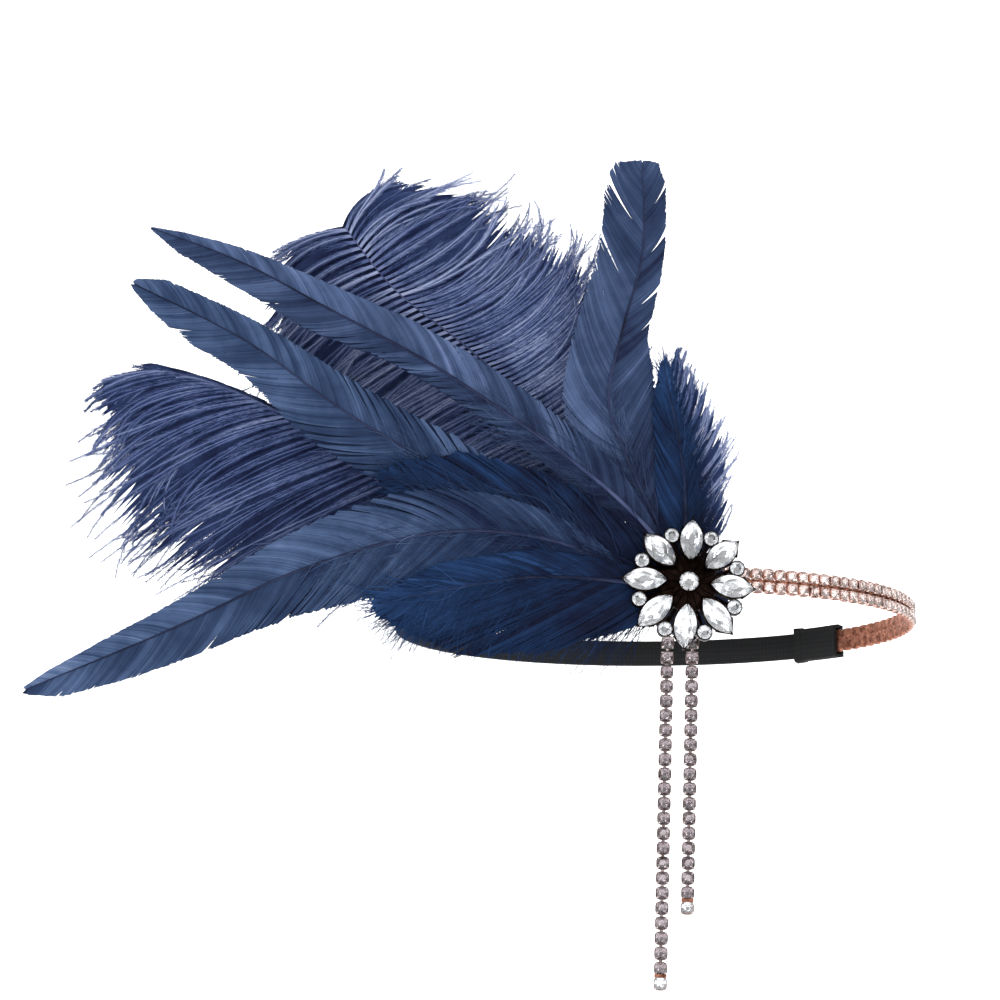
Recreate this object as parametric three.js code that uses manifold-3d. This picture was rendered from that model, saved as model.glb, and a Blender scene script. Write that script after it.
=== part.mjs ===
// Flapper feather headband: a loop of two-row crystal chain and black elastic, with a navette flower at the
// temple that carries two hanging crystal strands and a fan of dyed quill feathers and ostrich plumes.
// Millimetres, +Z up, +X to the forehead. The origin is the centre of the head loop, at mid height.
import * as THREE from "three";
import { mergeVertices } from "three/addons/utils/BufferGeometryUtils.js";
import Module from "manifold-3d";

const wasm = await Module();
wasm.setup();

// Head loop
const FRONT_REACH = 88; // centre of the loop to the inside of the band at the forehead
const BACK_REACH = 86; // centre of the loop to the inside of the band at the back of the head
const SIDE_REACH = 74; // centre of the loop to the inside of the band at the temples
const SEAT_CLEARANCE = 0.3; // air between two pieces that rest on each other

// Crystal chain of the loop
const CRYSTAL_COLUMNS = 43;
const COLUMN_PITCH = 4.1; // from one stone to the next along the loop
const ROW_PITCH = 4.2; // from the upper row to the lower one
const CHAIN_HEIGHT = 8.5;
const CHAIN_WALL = 1.5; // depth of the soldered cups
const CHAIN_CROWN = 0.8; // height of a stone above its cup
const CHAIN_GIRDLE = 1.95; // radius of a stone at its cup
const CHAIN_TABLE = 1.0; // radius of a stone's flat top

// Elastic and its keeper
const ELASTIC_HEIGHT = 9.4;
const ELASTIC_WALL = 1.4;
const KEEPER_LENGTH = 18;
const KEEPER_HEIGHT = 12.2;
const KEEPER_WALL = 1.2;
const KEEPER_GRIP = 6; // length of chain or elastic inside the keeper

// Flower and the pad behind it
const FLOWER_X = 6; // place of the flower's centre along the head
const FLOWER_DROP = 5; // flower's centre below the band's mid height
const FLOWER_TURN = -5; // degrees, turn of the petals from upright
const PAD_RADIUS = 14;
const PAD_WALL = 1.5;
const END_GAP = 2; // between the chain's end and the elastic's end behind the pad
const PETALS = 8;
const PETAL_LENGTH = 14;
const PETAL_WIDTH = 7;
const PETAL_START = 6.1; // flower's centre to a petal stone's inner point
const PETAL_SLOPE = 14; // degrees, how far a petal leans back
const PETAL_DEPTH = 3.4; // back to table of a petal stone
const PETAL_SIDES = 4; // straight pieces in each of the two arcs of a navette
const CUP_RIM = 0.6; // metal round a stone
const CUP_WALL = 1.9; // height of a petal cup
const CUP_POCKET = 1.1; // how deep a stone sits in its cup
const FLOWER_LIFT = 0.4; // petal tips above the flower's back
const HUB_RADIUS = 9;
const CENTRE_RADIUS = 3.0; // middle stone
const CENTRE_DEPTH = 3.6;
const ACCENT_RADIUS = 1.7; // small round stones between the petals
const ACCENT_DEPTH = 2.2;
const ACCENT_REACH = 16; // flower's centre to a small stone's centre
const ARM_WIDTH = 1.1;
const ARM_WALL = 1.2;

// Hanging crystal strands
const STRAND_PITCH = 4.5;
const STRAND_GIRDLE = 2.0;
const STRAND_BACK = 1.65;
const STRAND_TABLE = 1.05;
const STRAND_CUP = 1.3; // back to girdle
const STRAND_CROWN = 0.8; // girdle to table
const STRAND_LINK = 1.1; // width of the bar between two cups
const STRAND_LEAN = 2; // degrees, both strands hang a little towards the back of the head
const HANGER_DROP = 18.2; // flower's centre to the eye that carries a strand
const HANGER_EYE = 0.85; // radius of that eye
const HANGER_RIM = 0.7;
const RING_RADIUS = 1.25; // middle of the ring's wire
const RING_WIRE = 0.28; // radius of the ring's wire
const STRANDS = [
  { name: "strand_long", across: -6.6, stones: 23 },
  { name: "strand_short", across: 1.1, stones: 18 },
];

// Feather fan. Layers are counted from the pad towards the flower.
const LAYER_PITCH = 1.2;
const LAYERS = 10;
const CLAMPED_RADIUS = 22; // the fan is flat as far as this from the flower's centre
const FAN_RADIUS = 200; // where a feather has moved by its own splay
const SPLAY_POWER = 1.5;
const VANE_EDGE = 0.3; // thickness of a vane at its edge
const RIB_WIDTH = 1.8;
const ROOT_OVERRUN = 3; // every shaft runs on this far past the flower's centre, where they all cross
const BLADE_STEPS = 15;

// Each row of a spine says how far a point of the shaft is along the feather and how far it is to the left of
// the straight line to the tip, as shares of the length. Each row of a vane gives the half widths to the left
// and right of the shaft, looking from root to tip, as shares of the vane's width.
const QUILLS = [
  {
    name: "quill_upright", layer: 3, length: 140, lean: 95, splay: 8, width: 17,
    spine: [
      { at: 0.03, side: 0 }, { at: 0.19, side: 0.06 }, { at: 0.34, side: 0.11 }, { at: 0.46, side: 0.13 },
      { at: 0.62, side: 0.08 }, { at: 0.79, side: 0.02 }, { at: 1, side: 0 },
    ],
    vane: [
      { at: 0, left: 0.06, right: 0.06 }, { at: 0.14, left: 0.1, right: 0.12 },
      { at: 0.26, left: 0.35, right: 0.7 }, { at: 0.45, left: 0.85, right: 1 },
      { at: 0.55, left: 0.85, right: 0.75 }, { at: 0.62, left: 0.85, right: 0.48 },
      { at: 0.79, left: 0.82, right: 0.4 }, { at: 0.95, left: 0.72, right: 0.42 },
      { at: 1, left: 0.5, right: 0.3 },
    ],
  },
  {
    name: "hackle_upright", layer: 4, length: 74, lean: 95, splay: 10, width: 9,
    spine: [{ at: 0.08, side: 0 }, { at: 0.5, side: -0.04 }, { at: 1, side: 0 }],
    vane: [
      { at: 0, left: 0.15, right: 0.15 }, { at: 0.2, left: 0.8, right: 0.9 },
      { at: 0.5, left: 1, right: 0.8 }, { at: 0.8, left: 0.5, right: 0.3 },
      { at: 1, left: 0.05, right: 0.05 },
    ],
  },
  {
    name: "quill_upper", layer: 5, length: 204, lean: 146, splay: 12, width: 13,
    spine: [
      { at: 0.02, side: -0.01 }, { at: 0.1, side: -0.045 }, { at: 0.25, side: -0.068 },
      { at: 0.5, side: -0.072 }, { at: 0.71, side: -0.052 }, { at: 0.86, side: -0.035 }, { at: 1, side: 0 },
    ],
    vane: [
      { at: 0, left: 0.07, right: 0.07 }, { at: 0.1, left: 0.1, right: 0.1 },
      { at: 0.22, left: 0.6, right: 0.6 }, { at: 0.4, left: 0.95, right: 0.72 },
      { at: 0.6, left: 1, right: 0.7 }, { at: 0.72, left: 0.75, right: 0.55 },
      { at: 0.86, left: 0.6, right: 0.33 }, { at: 0.95, left: 0.35, right: 0.16 },
      { at: 1, left: 0.02, right: 0.02 },
    ],
  },
  {
    name: "quill_middle", layer: 6, length: 197, lean: 151.5, splay: 16, width: 14,
    spine: [
      { at: 0.02, side: -0.008 }, { at: 0.15, side: 0.004 }, { at: 0.35, side: 0.018 },
      { at: 0.6, side: 0.015 }, { at: 0.8, side: -0.008 }, { at: 1, side: 0 },
    ],
    vane: [
      { at: 0, left: 0.07, right: 0.07 }, { at: 0.1, left: 0.1, right: 0.1 },
      { at: 0.22, left: 0.55, right: 0.5 }, { at: 0.45, left: 0.95, right: 0.8 },
      { at: 0.65, left: 0.95, right: 0.68 }, { at: 0.78, left: 0.68, right: 0.52 },
      { at: 0.88, left: 0.66, right: 0.45 }, { at: 0.96, left: 0.36, right: 0.4 },
      { at: 1, left: 0.1, right: 0.14 },
    ],
  },
  {
    name: "hackle_centre", layer: 7, length: 100, lean: 160, splay: 18, width: 18,
    spine: [{ at: 0.05, side: 0 }, { at: 0.5, side: -0.03 }, { at: 1, side: 0 }],
    vane: [
      { at: 0, left: 0.08, right: 0.08 }, { at: 0.25, left: 0.7, right: 0.6 },
      { at: 0.55, left: 1, right: 0.9 }, { at: 0.8, left: 0.85, right: 0.8 },
      { at: 1, left: 0.2, right: 0.2 },
    ],
  },
  {
    name: "quill_lower", layer: 8, length: 204, lean: 190, splay: 20, width: 20,
    spine: [
      { at: 0.02, side: -0.004 }, { at: 0.09, side: -0.035 }, { at: 0.18, side: -0.1 },
      { at: 0.3, side: -0.138 }, { at: 0.42, side: -0.143 }, { at: 0.59, side: -0.116 },
      { at: 0.78, side: -0.058 }, { at: 1, side: 0 },
    ],
    vane: [
      { at: 0, left: 0.05, right: 0.05 }, { at: 0.1, left: 0.12, right: 0.1 },
      { at: 0.2, left: 0.6, right: 0.35 }, { at: 0.32, left: 1, right: 0.6 },
      { at: 0.42, left: 1, right: 0.72 }, { at: 0.52, left: 0.75, right: 0.66 },
      { at: 0.7, left: 0.55, right: 0.42 }, { at: 0.86, left: 0.45, right: 0.27 },
      { at: 0.96, left: 0.3, right: 0.14 }, { at: 1, left: 0.08, right: 0.04 },
    ],
  },
  {
    name: "hackle_low", layer: 9, length: 96, lean: 184, splay: 22, width: 21,
    spine: [{ at: 0.05, side: 0 }, { at: 0.5, side: -0.06 }, { at: 1, side: 0 }],
    vane: [
      { at: 0, left: 0.08, right: 0.08 }, { at: 0.22, left: 0.75, right: 0.25 },
      { at: 0.5, left: 1.15, right: 0.4 }, { at: 0.8, left: 1, right: 0.4 },
      { at: 1, left: 0.2, right: 0.12 },
    ],
  },
];

// A plume is a thin shaft with loose locks of barbs down both sides. Each row of locks says how far up the
// shaft a lock starts, the directions in degrees in which it starts and ends, and its length.
const PLUMES = [
  {
    name: "plume_top", layer: 0, length: 164, lean: 131.7, splay: -8,
    lock_width: 6, lock_depth: 2.2, bulge: 5,
    spine: [
      { at: 0.27, side: -0.026 }, { at: 0.6, side: -0.018 }, { at: 0.83, side: 0.013 }, { at: 1, side: 0 },
    ],
    sides: [
      {
        count: 11, from: 0.4,
        locks: [
          { at: 0.35, start: 35, end: 75, length: 36 }, { at: 0.5, start: 30, end: 72, length: 46 },
          { at: 0.65, start: 15, end: 68, length: 52 }, { at: 0.78, start: 8, end: 62, length: 50 },
          { at: 0.88, start: 30, end: 40, length: 46 }, { at: 0.94, start: 55, end: 0, length: 46 },
          { at: 1, start: 80, end: 25, length: 22 },
        ],
      },
      {
        count: 9, from: 0.35,
        locks: [
          { at: 0.35, start: 200, end: 215, length: 50 }, { at: 0.6, start: 195, end: 212, length: 52 },
          { at: 0.8, start: 190, end: 208, length: 40 }, { at: 0.93, start: 182, end: 200, length: 24 },
          { at: 1, start: 150, end: 185, length: 16 },
        ],
      },
    ],
  },
  {
    name: "plume_left", layer: 1, length: 180, lean: 156.8, splay: 4,
    lock_width: 6.4, lock_depth: 2.2, bulge: 3,
    spine: [
      { at: 0.17, side: -0.025 }, { at: 0.5, side: 0.004 }, { at: 0.84, side: -0.015 }, { at: 1, side: 0 },
    ],
    sides: [
      {
        count: 13, from: 0.32,
        locks: [
          { at: 0.3, start: 205, end: 205, length: 58 }, { at: 0.45, start: 203, end: 212, length: 70 },
          { at: 0.58, start: 200, end: 218, length: 80 }, { at: 0.7, start: 194, end: 226, length: 78 },
          { at: 0.8, start: 186, end: 234, length: 66 }, { at: 0.9, start: 172, end: 222, length: 38 },
          { at: 1, start: 160, end: 190, length: 12 },
        ],
      },
      {
        count: 3, from: 0.55,
        locks: [{ at: 0.5, start: 148, end: 165, length: 26 }, { at: 1, start: 152, end: 165, length: 10 }],
      },
    ],
  },
  {
    name: "down_tuft", layer: 2, length: 70, lean: 93, splay: 4,
    lock_width: 3.2, lock_depth: 0.5, bulge: 0,
    spine: [{ at: 0.1, side: 0 }, { at: 0.5, side: -0.04 }, { at: 1, side: 0 }],
    sides: [
      {
        count: 8, from: 0.16,
        locks: [
          { at: 0.15, start: 45, end: 58, length: 19 }, { at: 0.4, start: 58, end: 66, length: 20 },
          { at: 0.7, start: 68, end: 76, length: 15 }, { at: 1, start: 82, end: 88, length: 8 },
        ],
      },
      {
        count: 3, from: 0.4,
        locks: [{ at: 0.3, start: 122, end: 108, length: 18 }, { at: 1, start: 102, end: 98, length: 8 }],
      },
    ],
  },
];
const PLUME_SHAFT = 1.1; // width of a plume's shaft at its root
const LOCK_STEPS = 4;
const LOCK_SHAPE = [0.3, 0.75, 1, 0.8, 0.08]; // width of a lock from root to tip, as shares of its width

const COLOURS = {
  navy: { color: 0x243a5e, roughness: 0.6, metalness: 0 },
  slate: { color: 0x3d4f74, roughness: 0.6, metalness: 0 },
  plume: { color: 0x39446f, roughness: 0.8, metalness: 0 },
  elastic: { color: 0x222323, roughness: 0.9, metalness: 0 },
  chain: { color: 0xd8a890, roughness: 0.25, metalness: 1 },
  bronze: { color: 0x3a2a24, roughness: 0.4, metalness: 1 },
  crystal: { color: 0xf2f4f6, roughness: 0.05, metalness: 0 },
  felt: { color: 0x1c2336, roughness: 0.95, metalness: 0 },
};

const radians = THREE.MathUtils.degToRad;

function named(name, geometry, finish) {
  const mesh = new THREE.Mesh(geometry, new THREE.MeshStandardMaterial(COLOURS[finish]));
  mesh.name = name;
  return mesh;
}

// Value of a table's column at a place along it, straight between the rows.
function readTable(rows, column, at) {
  const next = rows.findIndex((row) => row.at >= at);
  if (next <= 0) return (next === 0 ? rows[0] : rows[rows.length - 1])[column];
  const [low, high] = [rows[next - 1], rows[next]];
  return THREE.MathUtils.lerp(low[column], high[column], (at - low.at) / (high.at - low.at));
}

// A closed skin through rings of equally many points, with both ends closed by a fan.
function loft(rings) {
  const sides = rings[0].length;
  const points = rings.flat();
  const faces = [];
  for (let ring = 0; ring + 1 < rings.length; ring++)
    for (let i = 0; i < sides; i++) {
      const a = ring * sides + i;
      const b = ring * sides + ((i + 1) % sides);
      faces.push(a, b, b + sides, a, b + sides, a + sides);
    }
  for (const [ring, forward] of [[0, false], [rings.length - 1, true]]) {
    const middle = rings[ring].reduce((sum, p) => sum.add(p), new THREE.Vector3()).divideScalar(sides);
    points.push(middle);
    for (let i = 0; i < sides; i++) {
      const a = ring * sides + i;
      const b = ring * sides + ((i + 1) % sides);
      faces.push(points.length - 1, forward ? a : b, forward ? b : a);
    }
  }
  const geometry = new THREE.BufferGeometry().setFromPoints(points);
  geometry.setIndex(faces);
  return facingOut(geometry);
}

// The same closed geometry with its faces turned round if they point inwards.
function facingOut(geometry) {
  const place = geometry.getAttribute("position");
  const index = geometry.index.array;
  const corner = (i) => new THREE.Vector3().fromBufferAttribute(place, index[i]);
  let volume = 0;
  for (let i = 0; i < index.length; i += 3) volume += corner(i).dot(corner(i + 1).cross(corner(i + 2)));
  if (volume < 0)
    for (let i = 0; i < index.length; i += 3) [index[i + 1], index[i + 2]] = [index[i + 2], index[i + 1]];
  return geometry;
}

function toSolid(geometry) {
  const bare = geometry.clone();
  bare.deleteAttribute("normal");
  bare.deleteAttribute("uv");
  const merged = mergeVertices(bare, 1e-4);
  return new wasm.Manifold(
    new wasm.Mesh({
      numProp: 3,
      vertProperties: new Float32Array(merged.getAttribute("position").array),
      triVerts: new Uint32Array(merged.index.array),
    }),
  );
}

function toGeometry(solid) {
  const mesh = solid.getMesh();
  const geometry = new THREE.BufferGeometry();
  geometry.setAttribute("position", new THREE.BufferAttribute(mesh.vertProperties, 3));
  geometry.setIndex(new THREE.BufferAttribute(mesh.triVerts, 1));
  return geometry;
}

function join(geometries) {
  return geometries.map(toSolid).reduce((sum, solid) => sum.add(solid));
}

// Head loop

function loopPoint(angle, outset, height) {
  const reach = Math.cos(angle) > 0 ? FRONT_REACH : BACK_REACH;
  const inside = new THREE.Vector2(reach * Math.cos(angle), SIDE_REACH * Math.sin(angle));
  const out = new THREE.Vector2(Math.cos(angle) / reach, Math.sin(angle) / SIDE_REACH).normalize();
  inside.addScaledVector(out, outset);
  return new THREE.Vector3(inside.x, inside.y, height);
}

// Angle on the loop that lies a distance further round.
function angleAfter(start, distance) {
  const step = radians(0.2) * Math.sign(distance);
  let angle = start;
  let left = Math.abs(distance);
  for (;;) {
    const length = loopPoint(angle, 0, 0).distanceTo(loopPoint(angle + step, 0, 0));
    if (length >= left) return angle + (step * left) / length;
    left -= length;
    angle += step;
  }
}

function ribbon(from, to, steps, inner, outer, height) {
  const rings = [];
  for (let i = 0; i <= steps; i++) {
    const angle = THREE.MathUtils.lerp(from, to, i / steps);
    rings.push([
      loopPoint(angle, inner, -height / 2), loopPoint(angle, outer, -height / 2),
      loopPoint(angle, outer, height / 2), loopPoint(angle, inner, height / 2),
    ]);
  }
  return loft(rings);
}

const flowerAngle = -Math.acos(FLOWER_X / FRONT_REACH);
const chainStart = angleAfter(flowerAngle, END_GAP / 2);
const chainEnd = angleAfter(chainStart, CRYSTAL_COLUMNS * COLUMN_PITCH);
const keeperStart = angleAfter(chainEnd, -KEEPER_GRIP);
const keeperEnd = angleAfter(keeperStart, KEEPER_LENGTH);
const elasticStart = angleAfter(keeperEnd, -KEEPER_GRIP);
const elasticEnd = angleAfter(flowerAngle + 2 * Math.PI, -END_GAP / 2);
const chainDepth = CHAIN_WALL + CHAIN_CROWN;

function crystalBand() {
  const solids = [ribbon(chainStart, chainEnd, CRYSTAL_COLUMNS, 0, CHAIN_WALL, CHAIN_HEIGHT)];
  const sunk = 0.2; // a stone's foot inside its cup
  const profile = [
    [0, CHAIN_WALL - sunk], [CHAIN_GIRDLE, CHAIN_WALL - sunk], [CHAIN_TABLE, chainDepth], [0, chainDepth],
  ];
  for (let column = 0; column < CRYSTAL_COLUMNS; column++) {
    const angle = angleAfter(chainStart, (column + 0.5) * COLUMN_PITCH);
    const foot = loopPoint(angle, 0, 0);
    const out = loopPoint(angle, 1, 0).sub(foot);
    for (const row of [-0.5, 0.5]) {
      const stone = turned(profile, 8).rotateZ(radians(22.5));
      stone.applyQuaternion(new THREE.Quaternion().setFromUnitVectors(new THREE.Vector3(0, 0, 1), out));
      stone.translate(foot.x, foot.y, row * ROW_PITCH);
      solids.push(stone);
    }
  }
  return toGeometry(join(solids));
}

function elasticStrap() {
  const outer = chainDepth;
  return ribbon(elasticStart, elasticEnd, 44, outer - ELASTIC_WALL, outer, ELASTIC_HEIGHT);
}

function keeper() {
  const clear = SEAT_CLEARANCE;
  const pocketEnd = angleAfter(chainEnd, clear);
  const pocketStart = angleAfter(elasticStart, -clear);
  const overrun = 1; // the cutters reach past the keeper's ends
  const block = ribbon(
    keeperStart, keeperEnd, 8, -clear - KEEPER_WALL, chainDepth + clear + KEEPER_WALL, KEEPER_HEIGHT,
  );
  const chainPocket = ribbon(
    angleAfter(keeperStart, -overrun), pocketEnd, 6, -clear, chainDepth + clear, CHAIN_HEIGHT + 2 * clear,
  );
  const elasticPocket = ribbon(
    pocketStart, angleAfter(keeperEnd, overrun), 6, chainDepth - ELASTIC_WALL - clear, chainDepth + clear,
    ELASTIC_HEIGHT + 2 * clear,
  );
  return toGeometry(toSolid(block).subtract(toSolid(chainPocket)).subtract(toSolid(elasticPocket)));
}

// Flower, in its own frame: x to the forehead, y up, z away from the head. Its back is at z = 0.

const padBack = SIDE_REACH + chainDepth + SEAT_CLEARANCE;
const shaftThickness = LAYER_PITCH - SEAT_CLEARANCE; // the stacked shafts nearly touch
const fanBack = padBack + PAD_WALL + SEAT_CLEARANCE / 2;
const flowerBack = fanBack + LAYERS * LAYER_PITCH + SEAT_CLEARANCE / 2;

function pad() {
  const disc = new THREE.CylinderGeometry(PAD_RADIUS, PAD_RADIUS, PAD_WALL, 24);
  disc.translate(FLOWER_X, -(padBack + PAD_WALL / 2), -FLOWER_DROP);
  return disc;
}

// Outline of a navette: two equal arcs that meet in a point at each end of the x axis.
function navette(length, width, segments) {
  const radius = (length * length + width * width) / (4 * width);
  const half = Math.asin(length / 2 / radius);
  const points = [];
  for (const side of [1, -1])
    for (let i = 0; i < segments; i++) {
      const angle = half - (2 * half * i) / segments;
      const rise = radius * Math.cos(angle) - radius + width / 2;
      points.push(new THREE.Vector2(side * radius * Math.sin(angle), side * rise));
    }
  return points;
}

function prism(outline, low, high) {
  return loft([low, high].map((z) => outline.map((p) => new THREE.Vector3(p.x, p.y, z))));
}

const petalMiddle = PETAL_START + PETAL_LENGTH / 2;
const petalTurns = Array.from({ length: PETALS }, (_, i) => radians(90 + FLOWER_TURN + (i * 360) / PETALS));
const accentTurns = petalTurns.map((turn) => turn + Math.PI / PETALS);
const cupHalfLength = PETAL_LENGTH / 2 + CUP_RIM;
const cupFloor = FLOWER_LIFT + cupHalfLength * Math.sin(radians(PETAL_SLOPE)); // at a petal's middle

// From a petal's own frame, long axis outwards, to the flower's.
function petalFrame(turn) {
  return new THREE.Matrix4()
    .makeRotationZ(turn)
    .multiply(new THREE.Matrix4().makeTranslation(petalMiddle, 0, cupFloor))
    .multiply(new THREE.Matrix4().makeRotationY(radians(PETAL_SLOPE)));
}

function petalStone(turn) {
  const foot = CUP_WALL - CUP_POCKET + SEAT_CLEARANCE;
  const girdle = CUP_WALL + 0.2;
  const top = foot + PETAL_DEPTH;
  const rings = [[0.86, foot], [1, girdle], [0.52, top]].map(([share, z]) =>
    navette(PETAL_LENGTH * share, PETAL_WIDTH * share, PETAL_SIDES)
      .map((p) => new THREE.Vector3(p.x, p.y, z)),
  );
  return loft(rings).applyMatrix4(petalFrame(turn));
}

function petalCup(turn) {
  const rim = 2 * CUP_RIM;
  const room = 2 * (CUP_RIM - SEAT_CLEARANCE);
  const wall = prism(navette(PETAL_LENGTH + rim, PETAL_WIDTH + rim, PETAL_SIDES), 0, CUP_WALL);
  const pocket = prism(
    navette(PETAL_LENGTH + room, PETAL_WIDTH + room, PETAL_SIDES), CUP_WALL - CUP_POCKET, CUP_WALL + 1,
  );
  const frame = petalFrame(turn);
  return toSolid(wall.applyMatrix4(frame)).subtract(toSolid(pocket.applyMatrix4(frame)));
}

const hubTop = cupFloor + CUP_WALL + (PETAL_LENGTH / 2) * Math.sin(radians(PETAL_SLOPE));
const centreSeat = hubTop - CUP_POCKET;
const centreBore = CENTRE_RADIUS + SEAT_CLEARANCE;

// A closed profile of radius and height turned round the z axis.
function turned(profile, sides) {
  const points = [...profile, profile[0]].map(([radius, z]) => new THREE.Vector2(radius, z));
  const geometry = new THREE.LatheGeometry(points, sides).rotateX(Math.PI / 2);
  geometry.deleteAttribute("normal");
  geometry.deleteAttribute("uv");
  return facingOut(mergeVertices(geometry, 1e-4));
}

function hub() {
  const rim = centreBore + CUP_RIM;
  const bite = 0.5; // the hub reaches this far into the petal cups
  const height = (radius) => cupFloor + (petalMiddle - radius) * Math.tan(radians(PETAL_SLOPE)) + bite;
  return turned(
    [
      [0, 0], [HUB_RADIUS, 0], [HUB_RADIUS, height(HUB_RADIUS)], [rim, height(rim)], [rim, hubTop],
      [centreBore, hubTop], [centreBore, centreSeat], [0, centreSeat],
    ],
    16,
  );
}

function centreStone() {
  const foot = centreSeat + SEAT_CLEARANCE;
  return turned(
    [
      [0, foot], [CENTRE_RADIUS * 0.7, foot], [CENTRE_RADIUS, foot + CENTRE_DEPTH * 0.45],
      [CENTRE_RADIUS * 0.55, foot + CENTRE_DEPTH], [0, foot + CENTRE_DEPTH],
    ],
    10,
  );
}

const accentBore = ACCENT_RADIUS + SEAT_CLEARANCE;
const accentCup = accentBore + CUP_RIM;
const accentCupTop = ARM_WALL + ACCENT_DEPTH * 0.6;

function accentSetting(turn) {
  const cup = turned(
    [
      [0, 0], [accentCup, 0], [accentCup, accentCupTop], [accentBore, accentCupTop], [accentBore, ARM_WALL],
      [0, ARM_WALL],
    ],
    10,
  ).translate(ACCENT_REACH, 0, 0);
  const armStart = HUB_RADIUS / 2;
  const armEnd = ACCENT_REACH - accentBore;
  const arm = new THREE.BoxGeometry(armEnd - armStart, ARM_WIDTH, ARM_WALL);
  arm.translate((armStart + armEnd) / 2, 0, ARM_WALL / 2);
  return [cup.rotateZ(turn), arm.rotateZ(turn)];
}

function accentStone(turn) {
  const foot = ARM_WALL + SEAT_CLEARANCE;
  const top = foot + ACCENT_DEPTH;
  return turned(
    [
      [0, foot], [ACCENT_RADIUS * 0.6, foot], [ACCENT_RADIUS, foot + ACCENT_DEPTH * 0.55],
      [ACCENT_RADIUS * 0.55, top], [0, top],
    ],
    8,
  ).translate(ACCENT_REACH, 0, 0).rotateZ(turn);
}

const eyeRadius = HANGER_EYE + HANGER_RIM;
const strandPlane = 1.1; // the strands' middle in front of the flower's back

function hanger(across) {
  const eye = new THREE.CylinderGeometry(eyeRadius, eyeRadius, ARM_WALL / 2, 10).rotateX(Math.PI / 2);
  eye.translate(across, -HANGER_DROP, strandPlane);
  const barTop = -HUB_RADIUS * 0.6;
  const barEnd = -(HANGER_DROP - HANGER_EYE - HANGER_RIM / 2);
  const bar = new THREE.BoxGeometry(ARM_WIDTH, barTop - barEnd, ARM_WALL / 2);
  bar.translate(across, (barTop + barEnd) / 2, strandPlane);
  const hole = new THREE.CylinderGeometry(HANGER_EYE, HANGER_EYE, 3 * ARM_WALL, 10).rotateX(Math.PI / 2);
  hole.translate(across, -HANGER_DROP, strandPlane);
  return { solids: [eye, bar], hole };
}

function flowerSetting() {
  let solid = toSolid(hub());
  for (const turn of petalTurns) solid = solid.add(petalCup(turn));
  for (const turn of accentTurns) solid = solid.add(join(accentSetting(turn)));
  for (const { across } of STRANDS) {
    const { solids, hole } = hanger(across);
    solid = solid.add(join(solids)).subtract(toSolid(hole));
  }
  const seats = petalTurns.map((turn) => {
    const room = 2 * (CUP_RIM - SEAT_CLEARANCE);
    const above = prism(
      navette(PETAL_LENGTH + room, PETAL_WIDTH + room, PETAL_SIDES),
      CUP_WALL - CUP_POCKET, CUP_WALL + PETAL_DEPTH + 1,
    );
    return toSolid(above.applyMatrix4(petalFrame(turn)));
  });
  for (const seat of seats) solid = solid.subtract(seat);
  return toGeometry(solid);
}

// A strand: a ring through the flower's eye, then stones in cups on a row of link bars.
function strand({ across, stones }) {
  const lean = radians(STRAND_LEAN);
  const slack = HANGER_EYE - RING_WIRE - SEAT_CLEARANCE; // the ring hangs on the eye's lower edge
  const firstCup = slack + 2 * RING_RADIUS + STRAND_GIRDLE;
  const depth = STRAND_CUP + STRAND_CROWN;
  const back = strandPlane - depth / 2;
  const ring = new THREE.TorusGeometry(RING_RADIUS, RING_WIRE, 6, 12).rotateY(Math.PI / 2);
  ring.translate(0, -slack - RING_RADIUS, strandPlane);
  const parts = [ring];
  for (let i = 0; i < stones; i++) {
    const drop = firstCup + i * STRAND_PITCH;
    const cup = turned(
      [
        [0, back], [STRAND_BACK, back], [STRAND_GIRDLE, back + STRAND_CUP], [STRAND_TABLE, back + depth],
        [0, back + depth],
      ],
      8,
    );
    parts.push(cup.rotateZ(radians(22.5)).translate(0, -drop, 0));
    if (i + 1 < stones) {
      const bar = new THREE.BoxGeometry(STRAND_LINK, STRAND_PITCH - STRAND_BACK, STRAND_CUP / 2);
      parts.push(bar.translate(0, -drop - STRAND_PITCH / 2, back + STRAND_CUP / 2));
    }
  }
  const geometry = toGeometry(join(parts));
  return geometry.rotateZ(-lean).translate(across, -HANGER_DROP, 0);
}

// Feather fan. A place in the fan is x and z from the flower's centre, and its depth follows the layer.

// How far the fan has opened at a radius: 0 where it is clamped, 1 at the fan's radius.
function opened(radius) {
  return Math.pow(Math.max(0, radius - CLAMPED_RADIUS) / (FAN_RADIUS - CLAMPED_RADIUS), SPLAY_POWER);
}

function fanPoint({ layer, splay }, place, lift) {
  const depth = fanBack + LAYER_PITCH * (layer + 0.5) + splay * opened(place.length()) + lift;
  return new THREE.Vector3(FLOWER_X + place.x, -depth, place.y - FLOWER_DROP);
}

// The shaft of a feather as a flat curve from the flower's centre.
function shaftCurve({ length, lean, spine }) {
  const places = spine.map(({ at, side }) => new THREE.Vector2(at * length, side * length));
  places.unshift(new THREE.Vector2(-ROOT_OVERRUN, 0));
  return new THREE.SplineCurve(places.map((place) => place.rotateAround(new THREE.Vector2(), radians(lean))));
}

function shaftAt(curve, share) {
  const tangent = curve.getTangentAt(share);
  return { place: curve.getPointAt(share), tangent, left: new THREE.Vector2(-tangent.y, tangent.x) };
}

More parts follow.
